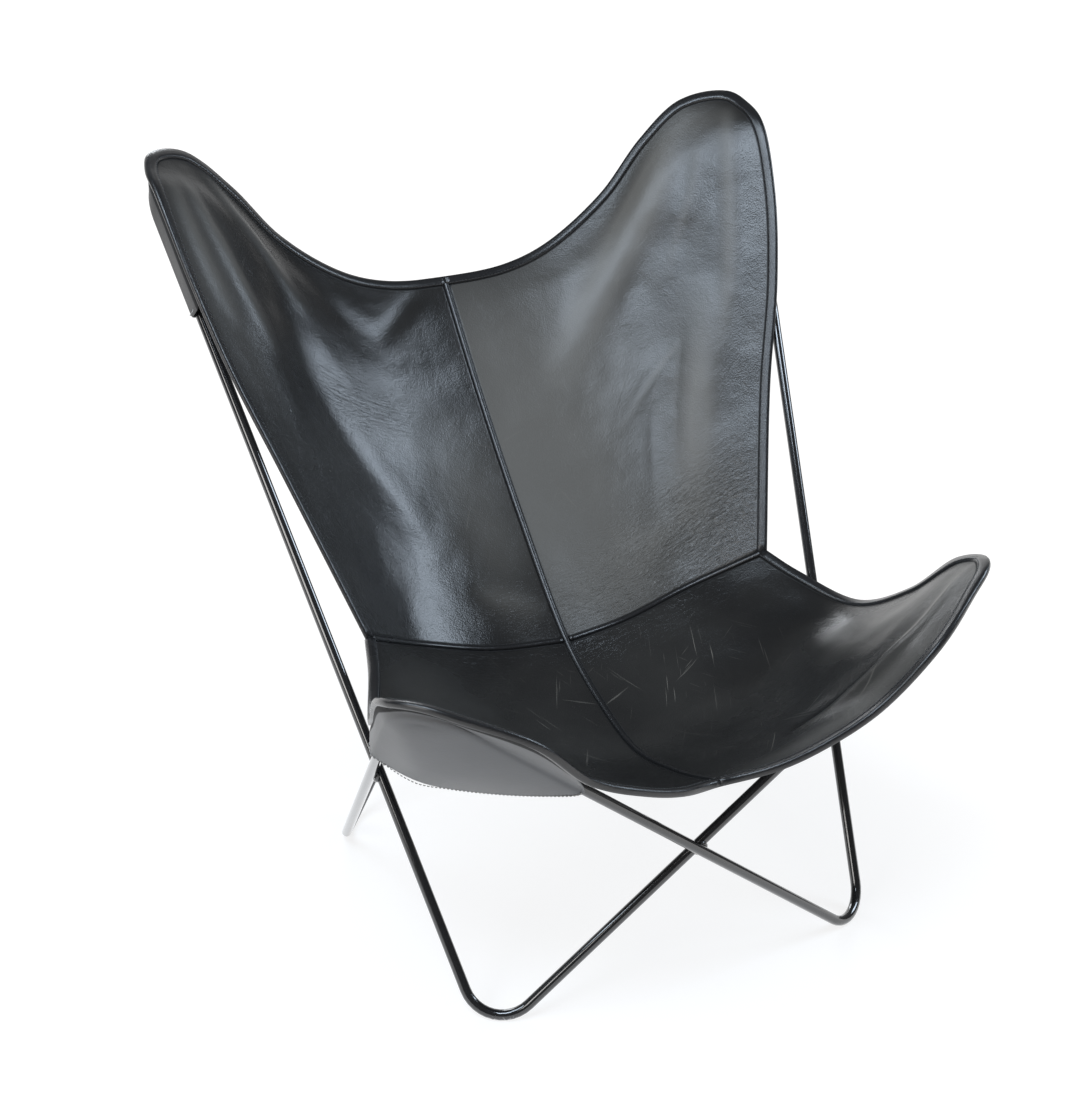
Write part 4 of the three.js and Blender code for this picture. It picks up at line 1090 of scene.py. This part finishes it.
def stitch_row(name, line, ups, material, girth_share=1.0):
    """A row of short stitches sunk at both ends, along a line of points"""
    radius = stitch_radius * girth_share
    lengths = run_lengths(line)
    goals = np.arange(stitch_pitch, lengths[-1] - stitch_pitch, stitch_pitch)
    at = read_at(goals, lengths, line)
    up = unit(read_at(goals, lengths, ups))
    tangent = unit(np.gradient(at, axis=0))
    aside = unit(np.cross(tangent, up))
    turns = np.linspace(0, 2 * math.pi, stitch_sides, endpoint=False)
    rings = []
    for travel, girth, sink in stitch_rings:
        centre = at + tangent * travel * stitch_length + up * sink * radius
        ring = [centre + (aside * math.cos(a) + up * math.sin(a)) * girth * radius for a in turns]
        rings.append(np.stack(ring, axis=1))
    points = np.stack(rings, axis=1)
    faces = []
    for stitch in np.arange(points.size // 3).reshape(points.shape[:3]):
        for ring, following in zip(stitch, stitch[1:]):
            faces += zip(ring, following, np.roll(following, -1), np.roll(ring, -1))
        faces += [stitch[0], stitch[-1][::-1]]
    return mesh_object(name, points.reshape(-1, 3), faces, material)


middle_cut = np.array((1.0, 0, 0))
rims = {}
for word in halves:
    back_rim = border(surfaces[f"back_panel_{word}"], False)
    seat_rim = border(surfaces[f"seat_panel_{word}"], True)
    waist_cut = unit(unit(back_rim.at[-2] - back_rim.at[-1]) - unit(seat_rim.at[1] - seat_rim.at[0]))
    mitre(back_rim, 0, middle_cut)
    mitre(back_rim, -1, waist_cut)
    mitre(seat_rim, 0, waist_cut)
    mitre(seat_rim, -1, middle_cut)
    for part, rim in (("back", back_rim), ("seat", seat_rim)):
        surface = surfaces[f"{part}_panel_{word}"]
        flatness = np.zeros(len(rim.at))
        if part == "back":
            travel = np.linspace(0, 1, len(rim.at))
            flatness = np.clip((travel - flat_from_share) / flat_over_share, 0, 1)
        rise = binding_rise + (flat_rise - binding_rise) * flatness
        from_apex = np.linalg.norm(rim.at - rim.at[apex_station[part]], axis=1)
        fullness = np.exp(-(from_apex / tip_fullness_reach) ** 2)
        binding = ring_object(
            f"{part}_edge_binding_{word}", binding_rings(surface, rim, rise, fullness), trim_leather
        )
        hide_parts(f"edge_binding_{part}_{word}")
        spots = rim.at - rim.out * stitch_inset
        height = leather_height(surface, spots, rim.up) + leather_thickness / 2
        stitches = stitch_row(
            f"{part}_binding_stitches_{word}",
            spots + rim.up * (height + rise * stitch_lift_share)[:, None],
            rim.up,
            black_thread,
        )
        rims[f"{part}_{word}"] = SimpleNamespace(rim=rim, binding=binding, stitches=stitches)

# Welts. Each seam is closed with a folded strip that stands up as a rounded ridge: one runs down
# the middle from the top edge to the front edge, and one runs out to the waist on each side.
welt_rise = 0.0034
welt_foot = leather_thickness
welt_sides = 12
welt_end_hold = 0.006


def welt_rings(line, ups):
    """Rings of a welt: a round ridge above the leather, and a foot sunk between the panels"""
    tangent = unit(np.gradient(line, axis=0))
    ups = squared(ups, tangent)
    aside = np.cross(tangent, ups)
    base = leather_thickness / 2
    rings = []
    for k in range(welt_sides):
        angle = 2 * math.pi * (k + 0.5) / welt_sides
        depth = welt_rise if math.sin(angle) > 0 else welt_foot
        height = base + depth * math.sin(angle)
        rings.append(line + aside * welt_half_width * math.cos(angle) + ups * height)
    return np.stack(rings, axis=1)


def trimmed(line, ups, hold_start, hold_end):
    """A seam line held back at its ends"""
    lengths = run_lengths(line)
    keep = (lengths > hold_start) & (lengths < lengths[-1] - hold_end)
    return line[keep], ups[keep]


right_back, right_seat = surfaces["back_panel_right"], surfaces["seat_panel_right"]
middle_line = np.vstack((right_back.grid[::-1, 0], right_seat.grid[::-1, 0][1:]))
middle_ups = np.vstack((right_back.normals[::-1, 0], right_seat.normals[::-1, 0][1:]))
middle_ups = unit(middle_ups * (0, 1, 1))
line, ups = trimmed(middle_line, middle_ups, welt_end_hold, welt_end_hold)
centre_welt = ring_object("middle_seam_welt", welt_rings(line, ups), trim_leather)
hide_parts("centre_welt")
for word in halves:
    back, seat = surfaces[f"back_panel_{word}"], surfaces[f"seat_panel_{word}"]
    ups = unit(back.normals[0] + seat.normals[-1])
    line, ups = trimmed(back.grid[0], ups, welt_half_width, welt_end_hold)
    ring_object(f"cross_seam_welt_{word}", welt_rings(line, ups), trim_leather)
    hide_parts(f"cross_welt_{word}")

# Pockets. A piece of smooth grey-black leather is sewn behind each corner of the sling and makes
# the pocket that slips over the tip of the frame, round the outside of both rods and across behind.
pocket_thickness = 0.0025
# Of each pocket: how far it reaches down the rods on the chair's side and on the far one, how far
# the middle of its mouth is lowered, how far it swells and where the most, how much further its side
# seam starts down the sling's edge, and how pale it is rubbed
back_pocket = SimpleNamespace(
    side_depth=0.188, far_depth=0.188, lip=0.014, sag=0.001, full_share=0.5, rim_extra=0.026, wear_and_sheen=0.0
)
front_pocket = SimpleNamespace(
    side_depth=0.196, far_depth=0.226, lip=0.027, sag=0.016, full_share=0.80, rim_extra=0.0, wear_and_sheen=0.8
)
bulge_turn = math.radians(138)
pocket_slack = 0.0012
pocket_gap = 2 * clearance
seam_inset = 0.001
sleeve_tilt = 0.35
# Distance of the pocket from a rod beside it, below it and behind it, as shares of the least one
beside_share = 1.08
lower_share = 1.12
behind_share = 1.04
under_reach = 0.08
pocket_stations = 24
pocket_marks = 5
pocket_smoothing = 2
seam_shade_width = 0.006
hem_inset = 0.5
hem_thread_share = 1.5
join_gap = 0.0002
pocket_leather = leather_material(
    "pocket_leather",
    dark=(0.016, 0.016, 0.017, 1),
    worn=(0.105, 0.105, 0.106, 1),
    smooth=0.5,
    rough=0.42,
    pebbles=800.0,
    wrinkle_depth=0.25,
    coat=0.1,
    groove_shade=0.9,
)


def rim_reader(rim, apex, step):
    """Reads a rim by its distance from the apex to one side"""
    pick = np.arange(apex, len(rim.at) if step > 0 else -1, step)
    lengths = run_lengths(rim.at[pick])

    def read(distance):
        at, up, out = [read_at(distance, lengths, values[pick]) for values in (rim.at, rim.up, rim.out)]
        return at, unit(up), unit(out)

    return read


def rod_ends(tip):
    """Where the rods of a tip leave its bend, the one across towards the side leg first"""
    bend = tip.bend
    ends = []
    for end, leg in ((bend.points[0], bend.in_leg), (bend.points[-1], bend.out_leg)):
        away = end - tip.centre
        turn = math.atan2(away @ tip.across, away @ tip.outward)
        ends.append(SimpleNamespace(end=end, leg=leg, turn=turn, out=unit(away)))
    return sorted(ends, key=lambda which: -which.turn)


def rod_at(tip, which, travel):
    """A point of the rod at a distance from the tip, and the way out of the bend there"""
    bend_length = abs(which.turn) * tip.radius
    if travel > bend_length:
        return which.end + which.leg * (travel - bend_length), which.out
    turn = travel / bend_length * which.turn
    out = tip.outward * math.cos(turn) + tip.across * math.sin(turn)
    return tip.centre + out * tip.radius, out


def pocket_grid(tip, readers, shape, side_first, surface):
    """Rows of points from one rim round the rods and across behind them to the other rim"""
    ends = rod_ends(tip)
    depths = [shape.side_depth, shape.far_depth]
    rim_extras = [shape.rim_extra, 0]
    full_share = 1 - shape.full_share
    if not side_first:
        depths.reverse()
        rim_extras.reverse()
        full_share = shape.full_share
    reach = rod_radius + pocket_thickness / 2 + clearance + pocket_slack
    tuck = leather_thickness / 2 + pocket_thickness / 2 + pocket_gap

    def below(point):
        hit = surface.tree.ray_cast(
            Vector(point - tip.up * under_reach), Vector(tip.up), 2 * under_reach
        )
        over = hit[3] - under_reach - tuck if hit[0] else 0
        return point + tip.up * min(over, 0)

    def fullness(s):
        away = 1 - s / full_share if s < full_share else (s - full_share) / (1 - full_share)
        return 1 - away ** 2

    rows = []
    for j in range(pocket_stations + 1):
        share = 1 - j / pocket_stations
        half_rows = []
        for which, read, depth, rim_extra in zip(ends, readers, depths, rim_extras):
            rod, out = rod_at(tip, which, share * depth)
            at, up, rim_out = read(share * (depth + rim_extra))
            start = at - up * tuck - rim_out * seam_inset
            aside = rod + unit(out - tip.up * sleeve_tilt) * reach * beside_share
            outer = (start + aside) / 2 + rim_out * seam_inset
            lower = rod + unit(out - tip.up) * reach * lower_share
            behind = rod - tip.up * reach * behind_share
            half_rows.append([start, below(outer), below(aside), lower, behind])
        first, last = half_rows
        across = []
        for mark in range(1, pocket_marks + 1):
            s = mark / (pocket_marks + 1)
            swell = shape.sag * fullness(s) * math.sin(share * bulge_turn)
            point = first[-1] + (last[-1] - first[-1]) * s - tip.up * swell
            across.append(point - tip.outward * shape.lip * share * fullness(s))
        rows.append([*first, *across, *last[::-1]])
    return np.array(rows)


def meet_over_tip(normals):
    """Turns the last row's normals so that the pocket's two halves meet there"""
    row = unit(normals[-1] + normals[-1, ::-1])
    behind_tip = slice((len(row) - pocket_marks) // 2 - 1, (len(row) + pocket_marks) // 2 + 1)
    row[behind_tip] = unit(row[behind_tip].sum(0))
    normals[-1] = row


def join_over_tip(piece, columns):
    """Joins the two halves of a pocket where they meet over the tip"""
    mesh = bmesh.new()
    mesh.from_mesh(piece.data)
    mesh.verts.ensure_lookup_table()
    count = len(mesh.verts) // 2
    last_row = mesh.verts[count - columns:count] + mesh.verts[-columns:]
    end_faces = [face for face in mesh.faces if set(last_row).issuperset(face.verts)]
    bmesh.ops.delete(mesh, geom=end_faces, context="FACES")
    bmesh.ops.remove_doubles(mesh, verts=last_row, dist=join_gap)
    mesh.to_mesh(piece.data)
    mesh.free()


for word, half in halves.items():
    for part, panel_part, tip, shape in (
        ("back", "back", half.high, back_pocket),
        ("front", "seat", half.front, front_pocket),
    ):
        rim, apex = rims[f"{panel_part}_{word}"].rim, apex_station[panel_part]
        readers = [rim_reader(rim, apex, 1), rim_reader(rim, apex, -1)]
        surface = surfaces[f"{panel_part}_panel_{word}"]
        grid = pocket_grid(tip, readers, shape, part == "back", surface)
        middle = grid.shape[1] // 2
        normals = grid_normals(grid, 1)
        if normals[0, middle] @ tip.up > 0:
            normals = -normals
        meet_over_tip(normals)
        across, along = grid[0, middle + 1] - grid[0, middle], grid[1, middle] - grid[0, middle]
        facing = 1 if np.cross(across, along) @ normals[0, middle] > 0 else -1
        pocket = sheet_object(
            f"{part}_pocket_leather_{word}", grid, normals, pocket_thickness, facing, pocket_leather
        )
        mark_points(pocket, "wear_and_sheen", np.broadcast_to((shape.wear_and_sheen, 0, 0), grid.shape))
        # Painted shade: the pocket's sides are darkened where they meet the sling's binding
        from_sides = np.minimum(nearest(grid, grid[:, 0]), nearest(grid, grid[:, -1]))
        mark_points(pocket, "beside", from_sides - seam_shade_width)
        join_over_tip(pocket, grid.shape[1])
        smooth = pocket.modifiers.new("smooth", "SUBSURF")
        smooth.levels = smooth.render_levels = pocket_smoothing
        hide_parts(f"{part}_pocket_{word}")
        mouth, following, outward = grid[0, 1:-1], grid[1, 1:-1], normals[0, 1:-1]
        hem = mouth + (following - mouth) * hem_inset + outward * pocket_thickness / 2
        hem_shares = np.linspace(0, 1, (len(hem) - 1) * curve_steps + 1)
        hem_ups = unit(read_at(hem_shares, np.linspace(0, 1, len(hem)), outward))
        stitches = stitch_row(
            f"{part}_pocket_stitches_{word}", smooth_line(hem), hem_ups, pale_thread, hem_thread_share
        )

# The sling as cut: each panel's name is split into its part and its side.
for name, surface in surfaces.items():
    part, _, word = name.split("_")
